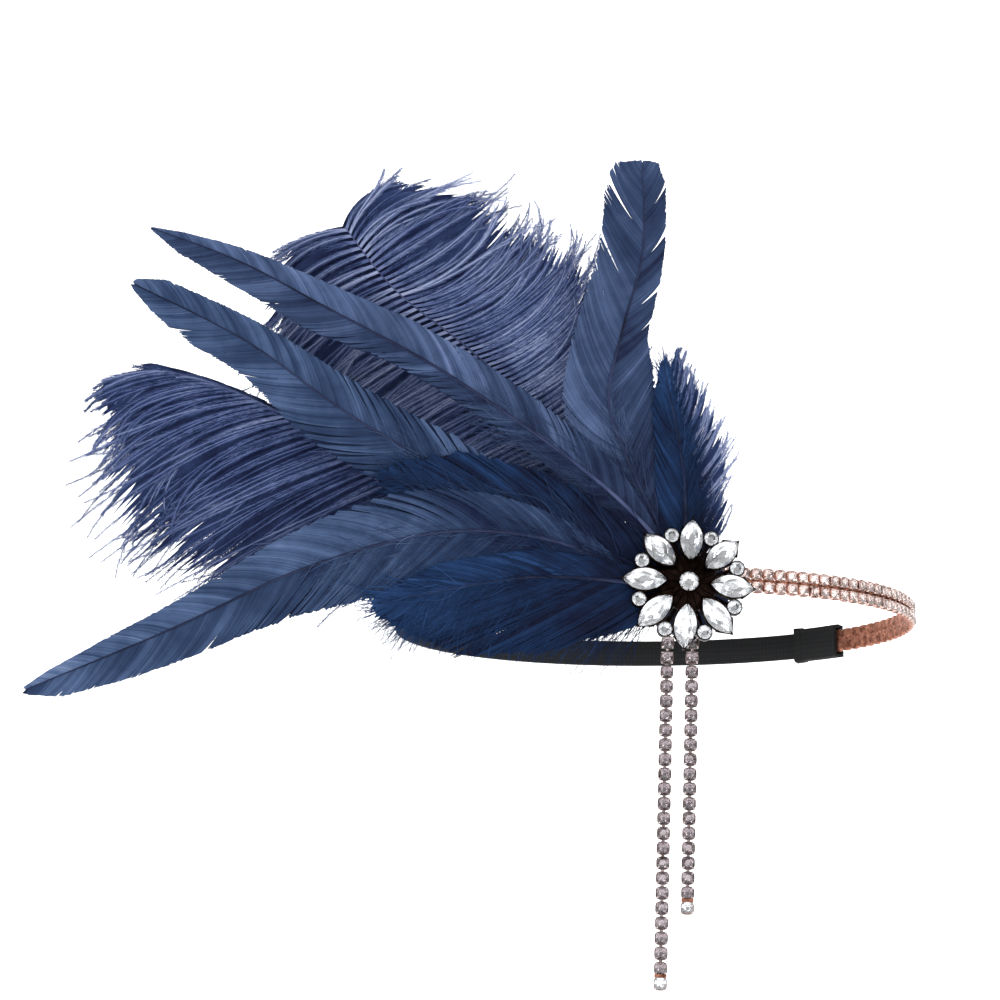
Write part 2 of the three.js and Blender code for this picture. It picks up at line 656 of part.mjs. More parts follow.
function quill(feather) {
  const curve = shaftCurve(feather);
  const rib = RIB_WIDTH / 2;
  const rings = [];
  for (let i = 0; i <= BLADE_STEPS; i++) {
    const share = i / BLADE_STEPS;
    const { place, left } = shaftAt(curve, share);
    const leftEdge = Math.max(feather.width * readTable(feather.vane, "left", share), VANE_EDGE);
    const rightEdge = Math.max(feather.width * readTable(feather.vane, "right", share), VANE_EDGE);
    const ribThickness = THREE.MathUtils.lerp(shaftThickness, VANE_EDGE, share) / 2;
    const section = [
      [leftEdge, VANE_EDGE / 2], [Math.min(rib, leftEdge / 2), VANE_EDGE / 2], [0, ribThickness],
      [-Math.min(rib, rightEdge / 2), VANE_EDGE / 2], [-rightEdge, VANE_EDGE / 2],
      [-rightEdge, -VANE_EDGE / 2], [0, -ribThickness], [leftEdge, -VANE_EDGE / 2],
    ];
    rings.push(section.map(([side, lift]) => {
      return fanPoint(feather, place.clone().addScaledVector(left, side), lift);
    }));
  }
  return loft(rings);
}

function lockOf(feather, curve, row, index) {
  const share = THREE.MathUtils.lerp(row.from, 1, index / (row.count - 1));
  const columns = ["start", "end", "length"];
  const [start, end, length] = columns.map((column) => readTable(row.locks, column, share));
  const at = shaftAt(curve, share).place;
  const raise = feather.bulge * (index % 2 ? 1 : -1);
  const rings = [];
  for (let i = 0; i <= LOCK_STEPS; i++) {
    const along = i / LOCK_STEPS;
    const heading = new THREE.Vector2(1, 0).rotateAround(
      new THREE.Vector2(), radians(THREE.MathUtils.lerp(start, end, along)),
    );
    const across = new THREE.Vector2(-heading.y, heading.x);
    const half = (feather.lock_width * LOCK_SHAPE[i]) / 2;
    const room = opened(at.length()); // locks are as deep as the fan's opening lets them
    const swell = Math.min(1, 1.5 * room) * LOCK_SHAPE[i];
    const thick = THREE.MathUtils.lerp(VANE_EDGE, feather.lock_depth, swell) / 2;
    const middle = raise * along * room;
    rings.push([
      fanPoint(feather, at.clone().addScaledVector(across, half), middle),
      fanPoint(feather, at, middle + thick),
      fanPoint(feather, at.clone().addScaledVector(across, -half), middle),
      fanPoint(feather, at, middle - thick),
    ]);
    at.addScaledVector(heading, length / LOCK_STEPS);
  }
  return loft(rings);
}

function plume(feather) {
  const curve = shaftCurve(feather);
  const steps = 10;
  const rings = [];
  for (let i = 0; i <= steps; i++) {
    const { place, left } = shaftAt(curve, i / steps);
    const taper = THREE.MathUtils.lerp(1, 0.4, i / steps);
    const half = (PLUME_SHAFT / 2) * taper;
    const thick = (shaftThickness / 2) * taper;
    rings.push([
      fanPoint(feather, place.clone().addScaledVector(left, half), 0), fanPoint(feather, place, thick),
      fanPoint(feather, place.clone().addScaledVector(left, -half), 0), fanPoint(feather, place, -thick),
    ]);
  }
  const solids = [loft(rings)];
  for (const row of feather.sides)
    for (let index = 0; index < row.count; index++) solids.push(lockOf(feather, curve, row, index));
  return toGeometry(join(solids));
}

const headband = new THREE.Group();
headband.add(named("crystal_band", crystalBand(), "chain"));
headband.add(named("elastic_strap", elasticStrap(), "elastic"));
headband.add(named("elastic_keeper", keeper(), "elastic"));
headband.add(named("backing_pad", pad(), "felt"));
for (const feather of QUILLS) headband.add(named(feather.name, quill(feather), "navy"));
for (const feather of PLUMES) headband.add(named(feather.name, plume(feather), "plume"));

const flower = new THREE.Group();
flower.position.set(FLOWER_X, -flowerBack, -FLOWER_DROP);
flower.rotation.x = Math.PI / 2;
flower.add(named("flower_setting", flowerSetting(), "bronze"));
flower.add(named("centre_stone", centreStone(), "crystal"));
petalTurns.forEach((turn, i) => flower.add(named(`petal_stone_${i + 1}`, petalStone(turn), "crystal")));
accentTurns.forEach((turn, i) => flower.add(named(`accent_stone_${i + 1}`, accentStone(turn), "crystal")));
for (const row of STRANDS) flower.add(named(row.name, strand(row), "chain"));
headband.add(flower);

export default headband;
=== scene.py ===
import math

import bpy
import numpy as np
from mathutils import Euler, Matrix, Vector


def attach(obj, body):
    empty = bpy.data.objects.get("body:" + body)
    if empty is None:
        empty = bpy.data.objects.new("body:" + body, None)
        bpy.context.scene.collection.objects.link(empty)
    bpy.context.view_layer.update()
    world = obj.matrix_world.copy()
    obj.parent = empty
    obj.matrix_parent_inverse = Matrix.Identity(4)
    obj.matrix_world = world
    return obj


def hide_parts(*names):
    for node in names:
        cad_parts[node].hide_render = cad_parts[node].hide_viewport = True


# The look of the feather headband: quills and plumes built barb by barb, cup chain and cut stones

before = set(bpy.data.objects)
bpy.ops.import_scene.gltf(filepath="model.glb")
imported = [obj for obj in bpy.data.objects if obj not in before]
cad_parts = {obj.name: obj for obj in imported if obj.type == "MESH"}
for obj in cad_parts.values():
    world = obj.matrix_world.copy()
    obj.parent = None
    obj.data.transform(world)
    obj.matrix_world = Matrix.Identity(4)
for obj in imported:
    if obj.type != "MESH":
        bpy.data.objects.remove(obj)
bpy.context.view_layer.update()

MM = 0.001
RNG = np.random.default_rng(29)

# Sizes in millimetres, the same as the solids'
FRONT_REACH, BACK_REACH, SIDE_REACH = 88, 86, 74
CRYSTAL_COLUMNS, COLUMN_PITCH, ROW_PITCH = 43, 4.1, 4.2
CHAIN_DEPTH = 2.3
END_GAP = 2
ELASTIC_HEIGHT, ELASTIC_WALL = 9.4, 1.4
KEEPER_LENGTH, KEEPER_HEIGHT, KEEPER_WALL, KEEPER_GRIP = 18, 12.2, 1.2, 6
SEAT_CLEARANCE = 0.3
FLOWER_X, FLOWER_DROP, FLOWER_TURN = 6, 5, -5
PAD_WALL = 1.5
LAYER_PITCH, LAYERS = 1.2, 10
CLAMPED_RADIUS, FAN_RADIUS, SPLAY_POWER = 22, 200, 1.5
ROOT_OVERRUN = 3
FAN_BACK = SIDE_REACH + CHAIN_DEPTH + SEAT_CLEARANCE + PAD_WALL + SEAT_CLEARANCE / 2
FLOWER_BACK = FAN_BACK + LAYERS * LAYER_PITCH + SEAT_CLEARANCE / 2


# Materials

def linear(hex_colour):
    """An sRGB hex colour as linear red, green, blue and alpha."""
    channels = [int(hex_colour[i:i + 2], 16) / 255 for i in (1, 3, 5)]
    return [c / 12.92 if c <= 0.04045 else ((c + 0.055) / 1.055) ** 2.4 for c in channels] + [1.0]


def add_node(tree, kind, values=None, links=None, **settings):
    """Adds a node with its own settings, its sockets' values and what is linked into them."""
    node = tree.nodes.new(kind)
    for name, value in settings.items():
        setattr(node, name, value)
    for socket, value in (values or {}).items():
        node.inputs[socket].default_value = value
    for socket, source in (links or {}).items():
        tree.links.new(source, node.inputs[socket])
    return node


def new_material(name, colour, roughness, metallic=0.0, **values):
    """A material with its main shader, which gives back the material, its tree and that shader."""
    material = bpy.data.materials.new(name)
    material.use_nodes = True
    tree = material.node_tree
    shader = tree.nodes["Principled BSDF"]
    settings = {"Base Color": linear(colour), "Roughness": roughness, "Metallic": metallic}
    for socket, value in {**settings, **values}.items():
        shader.inputs[socket].default_value = value
    return material, tree, shader


def set_ramp(node, stops):
    """Gives a colour ramp its stops, as (place, hex colour)."""
    ramp = node.color_ramp
    while len(ramp.elements) < len(stops):
        ramp.elements.new(0.5)
    for element, (place, colour) in zip(ramp.elements, stops):
        element.position = place
        element.color = linear(colour)


def dyed_feather(name, stops, roughness, sheen, sheen_tint):
    """Dyed keratin barbs. The dye takes unevenly: each barb has its own shade, under cloudy patches."""
    material, tree, shader = new_material(
        name, stops[1][1], roughness,
        **{"IOR": 1.54, "Specular IOR Level": 0.12, "Sheen Weight": sheen, "Sheen Roughness": 0.45,
           "Sheen Tint": linear(sheen_tint)})
    # the shade attribute holds each barb's dye and also the painted light and shade set where the meshes are
    # built
    shade = add_node(tree, "ShaderNodeAttribute", attribute_name="shade")
    place = add_node(tree, "ShaderNodeTexCoord")
    # patches of dye about 14 mm across
    clouds = add_node(tree, "ShaderNodeTexNoise", {"Scale": 1 / 0.014, "Detail": 3.0, "Roughness": 0.6},
                      {"Vector": place.outputs["Object"]})
    patchy = add_node(tree, "ShaderNodeMath", {1: -0.5}, {0: clouds.outputs["Fac"]}, operation="ADD")
    uneven = add_node(tree, "ShaderNodeMath", {1: 0.5}, {0: patchy.outputs[0], 2: shade.outputs["Fac"]},
                      operation="MULTIPLY_ADD")
    ramp = add_node(tree, "ShaderNodeValToRGB", links={"Fac": uneven.outputs[0]})
    set_ramp(ramp, stops)
    tree.links.new(ramp.outputs["Color"], shader.inputs["Base Color"])
    # barbules are 0.05 mm apart, drawn at 0.4 mm so that they show
    grain = add_node(tree, "ShaderNodeTexNoise", {"Scale": 1 / 0.0004, "Detail": 1.0},
                     {"Vector": place.outputs["Object"]})
    bump = add_node(tree, "ShaderNodeBump", {"Strength": 0.25, "Distance": 0.0001},
                    {"Height": grain.outputs["Fac"]})
    tree.links.new(bump.outputs["Normal"], shader.inputs["Normal"])
    return material


def plated_metal(name, colour, dark, roughness, wear_size):
    """Plated brass, polished, with thin dark tarnish in random patches that are also rougher."""
    material, tree, shader = new_material(name, colour, roughness, 1.0)
    place = add_node(tree, "ShaderNodeTexCoord")
    stain = add_node(tree, "ShaderNodeTexNoise", {"Scale": 1 / wear_size, "Detail": 4.0, "Roughness": 0.65},
                     {"Vector": place.outputs["Object"]})
    ramp = add_node(tree, "ShaderNodeValToRGB", links={"Fac": stain.outputs["Fac"]})
    set_ramp(ramp, [(0.35, dark), (0.62, colour)])
    tree.links.new(ramp.outputs["Color"], shader.inputs["Base Color"])
    rough = add_node(tree, "ShaderNodeMapRange", {"To Min": roughness + 0.2, "To Max": roughness},
                     {"Value": stain.outputs["Fac"]})
    tree.links.new(rough.outputs["Result"], shader.inputs["Roughness"])
    return material


# Goose quill feathers dyed navy: satin, with greyer lights where the barbs catch the light.
NAVY_QUILL = dyed_feather(
    "dyed goose quill, navy", [(0.0, "#041030"), (0.35, "#2a3c5c"), (0.65, "#4e6287"), (1.0, "#8292b3")],
    0.55, 0.04, "#8fa6d0")
# Soft hackles soaked in the same dye: a deep, strong navy that is nearly black in its folds.
DEEP_HACKLE = dyed_feather(
    "dyed hackle, deep navy", [(0.0, "#020a26"), (0.3, "#102a4f"), (0.65, "#2c4c7e"), (1.0, "#5d7bae")],
    0.6, 0.02, "#8fa6d0")
# Goose quill feathers that took less dye: a greyer slate blue.
SLATE_QUILL = dyed_feather(
    "dyed goose quill, slate blue",
    [(0.0, "#081230"), (0.35, "#2d3d5d"), (0.65, "#516389"), (1.0, "#8895b8")],
    0.55, 0.04, "#a9b8da")
# Ostrich plume dyed indigo: dull and downy, with pale tips.
OSTRICH_PLUME = dyed_feather(
    "dyed ostrich plume, indigo", [(0.05, "#0c1636"), (0.35, "#33426e"), (0.65, "#606e9a"), (1.0, "#a4aed0")],
    0.75, 0.05, "#a9b5dd")
# The shafts are hard keratin that took the dye thinly, so they are paler and glossier than the barbs.
FEATHER_SHAFT = dyed_feather(
    "dyed feather shaft, pale indigo",
    [(0.05, "#10162c"), (0.4, "#3a4468"), (0.7, "#6f7aa0"), (1.0, "#a0a6c2")],
    0.35, 0.0, "#ffffff")
# Rose-gold plated cup chain: pink metal between the stones.
ROSE_GOLD = plated_metal("rose-gold plated brass, polished", "#f2ddd5", "#c39c90", 0.2, 0.003)
# The cups of the chain were pressed from the same metal and never polished, so they are redder and duller.
COPPER_CUP = plated_metal("rose-gold plated brass, as pressed", "#ba7f68", "#653a2c", 0.4, 0.002)
# Smoky plated cup chain of the hanging strands.
SMOKY_PLATE = plated_metal("smoky plated brass", "#cfc3c1", "#7a6a6a", 0.24, 0.003)
# Its cups, as pressed: brown and dull.
SMOKY_CUP = plated_metal("smoky plated brass, as pressed", "#957f7a", "#4a3a3a", 0.34, 0.002)
# Antique bronze casting of the flower: nearly black, with brown lights on its edges.
ANTIQUE_BRONZE = plated_metal("antique bronze casting", "#211713", "#060404", 0.36, 0.0025)
# Silvered foil on the back of a cut stone, which throws the light back through it.
SILVER_FOIL, _, _ = new_material("silvered foil backing", "#f4f5f6", 0.22, 1.0)
# The small chain stones have a thinner foil, so the metal behind warms them or greys them.
ROSE_FOIL, _, _ = new_material("silvered foil over rose gold", "#e4cfc8", 0.25, 1.0)
SMOKY_FOIL, _, _ = new_material("silvered foil over smoky plate", "#ab9fa2", 0.25, 1.0)
# Clear lead glass, cut and polished.
CUT_GLASS, _, _ = new_material(
    "cut and polished lead glass", "#fbfcff", 0.0, **{"IOR": 1.6, "Transmission Weight": 1.0})


def knitted_elastic():
    """Black braided elastic: matt, with fine cords along it and the crossing threads showing as dots."""
    material, tree, shader = new_material(
        "braided elastic, black", "#1c1c1e", 0.85, **{"Specular IOR Level": 0.2, "Sheen Weight": 0.04})
    place = add_node(tree, "ShaderNodeUVMap")
    # 0.7 mm between crossing threads. The map is in metres along and across the band.
    threads = add_node(tree, "ShaderNodeTexWave", {"Scale": 1 / 0.0007 / 6.283, "Distortion": 0.4},
                       {"Vector": place.outputs["UV"]}, wave_type="BANDS", bands_direction="X")
    cords = add_node(tree, "ShaderNodeTexWave", {"Scale": 1 / 0.0009 / 6.283, "Distortion": 0.2},
                     {"Vector": place.outputs["UV"]}, wave_type="BANDS", bands_direction="Y")
    weave = add_node(tree, "ShaderNodeMath", links={0: threads.outputs["Fac"], 1: cords.outputs["Fac"]},
                     operation="MULTIPLY")
    ramp = add_node(tree, "ShaderNodeValToRGB", links={"Fac": weave.outputs[0]})
    set_ramp(ramp, [(0.0, "#151617"), (1.0, "#1d1e20")])
    tree.links.new(ramp.outputs["Color"], shader.inputs["Base Color"])
    bump = add_node(tree, "ShaderNodeBump", {"Strength": 0.25, "Distance": 0.0001},
                    {"Height": weave.outputs[0]})
    tree.links.new(bump.outputs["Normal"], shader.inputs["Normal"])
    return material


def pressed_felt():
    """Navy wool felt: matt and slightly mottled, with a soft bloom at its edges."""
    material, tree, shader = new_material(
        "pressed wool felt, navy", "#18203a", 0.95, **{"Specular IOR Level": 0.2, "Sheen Weight": 0.1})
    place = add_node(tree, "ShaderNodeTexCoord")
    # matted fibres about 0.3 mm apart
    fibres = add_node(tree, "ShaderNodeTexNoise", {"Scale": 1 / 0.0003, "Detail": 4.0, "Distortion": 1.5},
                      {"Vector": place.outputs["Object"]})
    ramp = add_node(tree, "ShaderNodeValToRGB", links={"Fac": fibres.outputs["Fac"]})
    set_ramp(ramp, [(0.3, "#111830"), (0.7, "#252f50")])
    tree.links.new(ramp.outputs["Color"], shader.inputs["Base Color"])
    bump = add_node(tree, "ShaderNodeBump", {"Strength": 0.7, "Distance": 0.0002},
                    {"Height": fibres.outputs["Fac"]})
    tree.links.new(bump.outputs["Normal"], shader.inputs["Normal"])
    return material


ELASTIC = knitted_elastic()
FELT = pressed_felt()


# Mesh building. A part is a dict: points in millimetres, faces, a material number and a shade for each point

def part_of(points, faces, material=0, shade=0.5):
    points = np.asarray(points, float).reshape(-1, 3)
    return {"points": points, "faces": faces, "material": material,
            "shade": np.broadcast_to(shade, len(points))}


def moved(part, matrix):
    """A copy of a part carried by a 4 by 4 matrix in millimetres."""
    turned = np.c_[part["points"], np.ones(len(part["points"]))] @ np.array(matrix).T
    return {**part, "points": turned[:, :3]}


def make_piece(name, parts, materials, nodes, smooth=True, uv=None):
    """Joins parts into one object that stands for CAD nodes, or for none where it only adds to them."""
    points, faces, numbers, start = [], [], [], 0
    for part in parts:
        points.append(part["points"])
        shifted = part["faces"]
        if isinstance(shifted, np.ndarray):
            shifted = (shifted + start).tolist()
        else:
            shifted = [[i + start for i in face] for face in shifted]
        faces += shifted
        numbers += [part["material"]] * len(shifted)
        start += len(part["points"])
    mesh = bpy.data.meshes.new(name)
    mesh.from_pydata((np.concatenate(points) * MM).tolist(), [], faces)
    mesh.polygons.foreach_set("material_index", numbers)
    mesh.polygons.foreach_set("use_smooth", [smooth] * len(numbers))
    shade = mesh.attributes.new("shade", "FLOAT", "POINT")
    shade.data.foreach_set("value", np.concatenate([part["shade"] for part in parts]).astype(np.float32))
    if uv is not None:
        layer = mesh.uv_layers.new(name="length and height")
        corners = np.empty(len(mesh.loops), dtype=np.int32)
        mesh.loops.foreach_get("vertex_index", corners)
        layer.data.foreach_set("uv", (uv[corners] * MM).astype(np.float32).ravel())
    mesh.update()
    piece = bpy.data.objects.new(name, mesh)
    bpy.context.scene.collection.objects.link(piece)
    for material in materials:
        mesh.materials.append(material)
    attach(piece, "root")
    if nodes:
        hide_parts(*nodes)
    return piece


def swept(rings, material=0, shade=0.5, closed=True):
    """A skin through rings of equally many points. rings is ring, point, xyz."""
    rings = np.asarray(rings, float)
    count, sides, _ = rings.shape
    index = np.arange(count * sides).reshape(count, sides)
    after = np.roll(index, -1, axis=1)
    faces = np.stack([index[:-1], after[:-1], after[1:], index[1:]], axis=-1).reshape(-1, 4).tolist()
    if closed:
        faces += [index[0, ::-1].tolist(), index[-1].tolist()]
    return part_of(rings, faces, material, shade)


# Feather fan

def opened(place):
    """How far the fan has opened at a place: 0 where it is clamped, 1 at the fan's radius."""
    beyond = np.maximum(0, np.linalg.norm(place, axis=-1) - CLAMPED_RADIUS)
    return (beyond / (FAN_RADIUS - CLAMPED_RADIUS)) ** SPLAY_POWER


def fan_points(feather, place, lift):
    """Places in the fan, x and z from the flower's centre, as points in millimetres."""
    depth = FAN_BACK + LAYER_PITCH * (feather["layer"] + 0.5) + feather["splay"] * opened(place) + lift
    return np.stack([FLOWER_X + place[..., 0], -depth, place[..., 1] - FLOWER_DROP], axis=-1)


def shaft_line(feather):
    """A function from shares along the shaft to places and directions in the fan, and the shaft's length."""
    length, angle = feather["length"], math.radians(feather["lean"])
    knots = np.array([(-ROOT_OVERRUN, 0)] + [(at * length, side * length) for at, side in feather["spine"]])
    line = []
    for i in range(len(knots) - 1):
        p0, p1, p2, p3 = (knots[min(max(j, 0), len(knots) - 1)] for j in (i - 1, i, i + 1, i + 2))
        for t in np.arange(40) / 40:
            line.append(0.5 * (2 * p1 + (p2 - p0) * t + (2 * p0 - 5 * p1 + 4 * p2 - p3) * t ** 2
                               + (3 * p1 - p0 - 3 * p2 + p3) * t ** 3))
    line = np.array(line + [knots[-1]])
    line = line @ np.array([[math.cos(angle), math.sin(angle)], [-math.sin(angle), math.cos(angle)]])
    run = np.r_[0, np.cumsum(np.hypot(*np.diff(line, axis=0).T))]
    shares = run / run[-1]

    def place_at(share):
        return np.stack([np.interp(share, shares, line[:, k]) for k in (0, 1)], axis=-1)

    def at(share):
        """Place, direction and left of the shaft at shares of its length."""
        share = np.asarray(share)
        along = place_at(share + 0.01) - place_at(share - 0.01)
        along /= np.linalg.norm(along, axis=-1, keepdims=True)
        return place_at(share), along, np.stack([-along[..., 1], along[..., 0]], axis=-1)

    return at, run[-1]


def smooth_noise(count, wave):
    """Slow random change along a row of barbs, about 0 with a spread of 1."""
    knots = RNG.normal(size=max(3, int(count / wave) + 2))
    return np.interp(np.linspace(0, len(knots) - 1, count), np.arange(len(knots)), knots)


def grown(place, heading, length):
    """Paths that start at places and follow their headings. heading is path, step."""
    stride = (length / (heading.shape[1] - 1))[:, None, None]
    moves = np.stack([np.cos(heading), np.sin(heading)], axis=-1) * stride
    return place[:, None] + np.cumsum(moves, axis=1) - moves[:, :1]


def ribbons(feather, path, half, lift, shade, roof=0.0, tilt=0.0):
    """Narrow ribbons along paths in the fan, each one flat or a shallow roof of two strips.

    path is ribbon, step, xz. half, lift and shade are ribbon, step.
    """
    count, steps, _ = path.shape
    direction = np.gradient(path, axis=1)
    direction /= np.maximum(np.linalg.norm(direction, axis=-1, keepdims=True), 1e-6)
    half = np.broadcast_to(half, (count, steps))[..., None]
    across = np.stack([-direction[..., 1], direction[..., 0]], axis=-1) * half
    rows = [fan_points(feather, path - across, lift - tilt), fan_points(feather, path + across, lift + tilt)]
    if roof:
        rows.insert(1, fan_points(feather, path, lift + roof))
    points = np.stack(rows, axis=2)
    index = np.arange(points.size // 3).reshape(count, steps, len(rows))
    corners = [index[:, :-1, :-1], index[:, 1:, :-1], index[:, 1:, 1:], index[:, :-1, 1:]]
    faces = np.stack(corners, axis=-1).reshape(-1, 4)
    shades = np.repeat(np.broadcast_to(shade, (count, steps)).reshape(-1), len(rows))
    return part_of(points, faces, 0, np.clip(shades, 0, 1))


def shaft_part(feather, thick, thin, foot_tone, tone):
    """The feather's shaft as a tapered tube, flattened a little, in the second material."""
    at, _ = shaft_line(feather)
    shares = np.linspace(0, 1, 60)
    place, _, left = at(shares)
    radius = np.interp(shares, [0, 1], [thick, thin]) / 2
    rings = []
    for turn in np.arange(8) * np.pi / 4:
        across = place + left * (radius * math.cos(turn))[:, None]
        rings.append(fan_points(feather, across, radius * 0.85 * math.sin(turn) + 0.15))
    shade = np.interp(shares, [0.1, 0.4], [foot_tone, tone]) + 0.06 * smooth_noise(60, 8)
    return swept(np.stack(rings, axis=1), 1, np.repeat(np.clip(shade, 0, 1), 8))


# layer: its place in the fan, counted from the head. length and width in mm, and lean, from the forehead up, in
# degrees. splay: how far in mm it bends away from the head. barb_angle: between barbs and shaft, in degrees.
# spine: share along, share to the left. vane: share along, half width to the left and to the right as shares
# of width. splits: side, share along, how far the barbs part there in mm, and over what share of the length.
# fray: side, from and to as shares of the shaft, and the width in mm of the locks that the vane falls into.
# tone: the vane's shade at root, middle and tip; the dark root is painted shade where the feathers crowd in
# at the flower. light: what the left and right sides add to it, painted light and shade on the vane's two
# sides. blunt: how far the middle of the tip stands out in mm. down: how many loose barbs, from and to
# as shares of the shaft, their length in mm, and the least and most angle in radians to the shaft, where plus
# is its left. shaft: its shade at the foot and beyond. nicks: how many small ones each edge has.
QUILLS = {
    "quill_upright": dict(
        layer=3, length=140, lean=95, splay=8, width=17, barb_angle=34, slot="slate_quill",
        dye=SLATE_QUILL, shaft=(0.4, 0.14), nicks=9,
        spine=[(0.03, 0), (0.19, 0.06), (0.34, 0.11), (0.46, 0.13), (0.62, 0.08), (0.79, 0.02), (1, 0)],
        vane=[(0, 0.06, 0.06), (0.14, 0.1, 0.12), (0.26, 0.35, 0.7), (0.45, 0.85, 1), (0.55, 0.85, 0.75),
              (0.62, 0.85, 0.48), (0.79, 0.82, 0.4), (0.95, 0.72, 0.42), (1, 0.5, 0.3)],
        splits=[(1, 0.84, 4, 0.03), (1, 0.7, 2.5, 0.03), (-1, 0.88, 2, 0.02), (-1, 0.78, 3, 0.03),
                (-1, 0.66, 3, 0.03), (-1, 0.58, 2, 0.02)],
        fray=[(-1, 0.2, 0.42, 3.5)], tone=(0.1, 0.38, 0.34), light=(0.04, -0.12), blunt=1,
        down=[(420, 0.12, 0.42, 24, -0.7, 0.7), (420, 0.22, 0.46, 19, -1.0, -0.3)]),
    "hackle_upright": dict(
        layer=4, length=74, lean=95, splay=10, width=9, barb_angle=24, slot="navy_quill",
        dye=DEEP_HACKLE, shaft=(0.15, 0.1), nicks=0,
        spine=[(0.08, 0), (0.5, -0.04), (1, 0)],
        vane=[(0, 0.15, 0.15), (0.2, 0.8, 0.7), (0.5, 1, 0.5), (0.8, 0.7, 0.2), (1, 0.05, 0.05)],
        splits=[],
        fray=[(-1, 0.3, 0.9, 3), (1, 0.3, 0.9, 4)], tone=(0.0, 0.14, 0.36), light=(0, -0.04), blunt=0,
        down=[(800, 0.1, 0.95, 18, -0.9, 0.6), (260, 0.1, 0.6, 22, -0.8, -0.2)]),
    "quill_upper": dict(
        layer=5, length=204, lean=146, splay=12, width=13, barb_angle=32, slot="slate_quill",
        dye=SLATE_QUILL, shaft=(0.6, 0.12), nicks=9,
        spine=[(0.02, -0.01), (0.1, -0.045), (0.25, -0.068), (0.5, -0.072), (0.71, -0.052), (0.86, -0.035),
               (1, 0)],
        vane=[(0, 0.07, 0.07), (0.1, 0.1, 0.1), (0.22, 0.5, 0.6), (0.4, 0.4, 0.72), (0.6, 0.45, 0.7),
              (0.72, 0.7, 0.55), (0.86, 0.6, 0.33), (0.95, 0.35, 0.16), (1, 0.02, 0.02)],
        splits=[(-1, 0.45, 1.5, 0.03), (1, 0.5, 2, 0.03), (1, 0.73, 1.2, 0.02)],
        fray=[(1, 0.3, 0.68, 3.5), (-1, 0.2, 0.34, 4)], tone=(0.06, 0.33, 0.36), light=(-0.02, 0.08), blunt=0,
        down=[(520, 0.1, 0.42, 32, -0.6, 0.7)]),
    "quill_middle": dict(
        layer=6, length=197, lean=151.5, splay=16, width=14, barb_angle=32, slot="navy_quill",
        dye=NAVY_QUILL, shaft=(0.55, 0.12), nicks=9,
        spine=[(0.02, -0.008), (0.15, 0.004), (0.35, 0.018), (0.6, 0.015), (0.8, -0.008), (1, 0)],
        vane=[(0, 0.07, 0.07), (0.1, 0.1, 0.1), (0.22, 0.55, 0.5), (0.45, 0.95, 0.8), (0.65, 0.95, 0.68),
              (0.78, 0.68, 0.52), (0.88, 0.66, 0.45), (0.96, 0.36, 0.4), (1, 0.1, 0.14)],
        splits=[(1, 0.84, 3, 0.03), (1, 0.7, 2, 0.03), (1, 0.5, 2.5, 0.04), (-1, 0.9, 1.2, 0.02),
                (-1, 0.68, 1.5, 0.03)],
        fray=[(1, 0.22, 0.6, 5), (-1, 0.3, 0.62, 4.5)], tone=(0.04, 0.33, 0.38), light=(0.0, 0.04), blunt=1,
        down=[(620, 0.1, 0.5, 34, -0.6, 0.7)]),
    "hackle_centre": dict(
        layer=7, length=100, lean=160, splay=18, width=18, barb_angle=24, slot="navy_quill",
        dye=DEEP_HACKLE, shaft=(0.15, 0.1), nicks=0,
        spine=[(0.05, 0), (0.5, -0.03), (1, 0)],
        vane=[(0, 0.08, 0.08), (0.25, 0.7, 0.6), (0.55, 1, 0.9), (0.8, 0.85, 0.8), (1, 0.2, 0.2)],
        splits=[],
        fray=[(1, 0.04, 1, 5), (-1, 0.04, 1, 5)], tone=(0.0, 0.06, 0.22), light=(-0.02, 0), blunt=2,
        down=[(1100, 0.1, 0.9, 34, -0.7, 0.7)]),
    "quill_lower": dict(
        layer=8, length=204, lean=190, splay=20, width=20, barb_angle=32, slot="navy_quill",
        dye=NAVY_QUILL, shaft=(0.3, 0.1), nicks=9,
        spine=[(0.02, -0.004), (0.09, -0.035), (0.18, -0.1), (0.3, -0.138), (0.42, -0.143), (0.59, -0.116),
               (0.78, -0.058), (1, 0)],
        vane=[(0, 0.05, 0.05), (0.1, 0.12, 0.1), (0.2, 0.6, 0.35), (0.32, 1, 0.6), (0.42, 1, 0.72),
              (0.52, 0.75, 0.66), (0.7, 0.55, 0.42), (0.86, 0.45, 0.27), (0.96, 0.3, 0.14), (1, 0.08, 0.04)],
        splits=[(1, 0.4, 4, 0.03), (1, 0.54, 4, 0.03), (1, 0.68, 2.5, 0.02), (-1, 0.56, 1.5, 0.03)],
        fray=[(1, 0.26, 0.66, 4), (-1, 0.26, 0.44, 5)], tone=(0.02, 0.37, 0.5),
        light=(-0.08, 0.06), blunt=1.5,
        down=[(900, 0.08, 0.5, 38, -0.6, 0.8), (260, 0.3, 0.55, 28, 0.5, 1.0)]),
    "hackle_low": dict(
        layer=9, length=96, lean=184, splay=22, width=21, barb_angle=24, slot="navy_quill",
        dye=DEEP_HACKLE, shaft=(0.15, 0.1), nicks=0,
        spine=[(0.05, 0), (0.5, -0.06), (1, 0)],
        vane=[(0, 0.08, 0.08), (0.22, 0.75, 0.25), (0.5, 1.15, 0.4), (0.8, 1, 0.4), (1, 0.2, 0.12)],
        splits=[],
        fray=[(1, 0.04, 1, 5)], tone=(0.0, 0.2, 0.36), light=(-0.02, 0.02), blunt=2,
        down=[(1000, 0.06, 0.95, 34, -0.6, 0.7), (1600, 0.08, 0.9, 38, 0.5, 1.15)]),
}
BARB_SPACING = 0.5  # mm, coarser than a real feather's 0.3 mm so that single barbs show
BARB_STEPS = 9


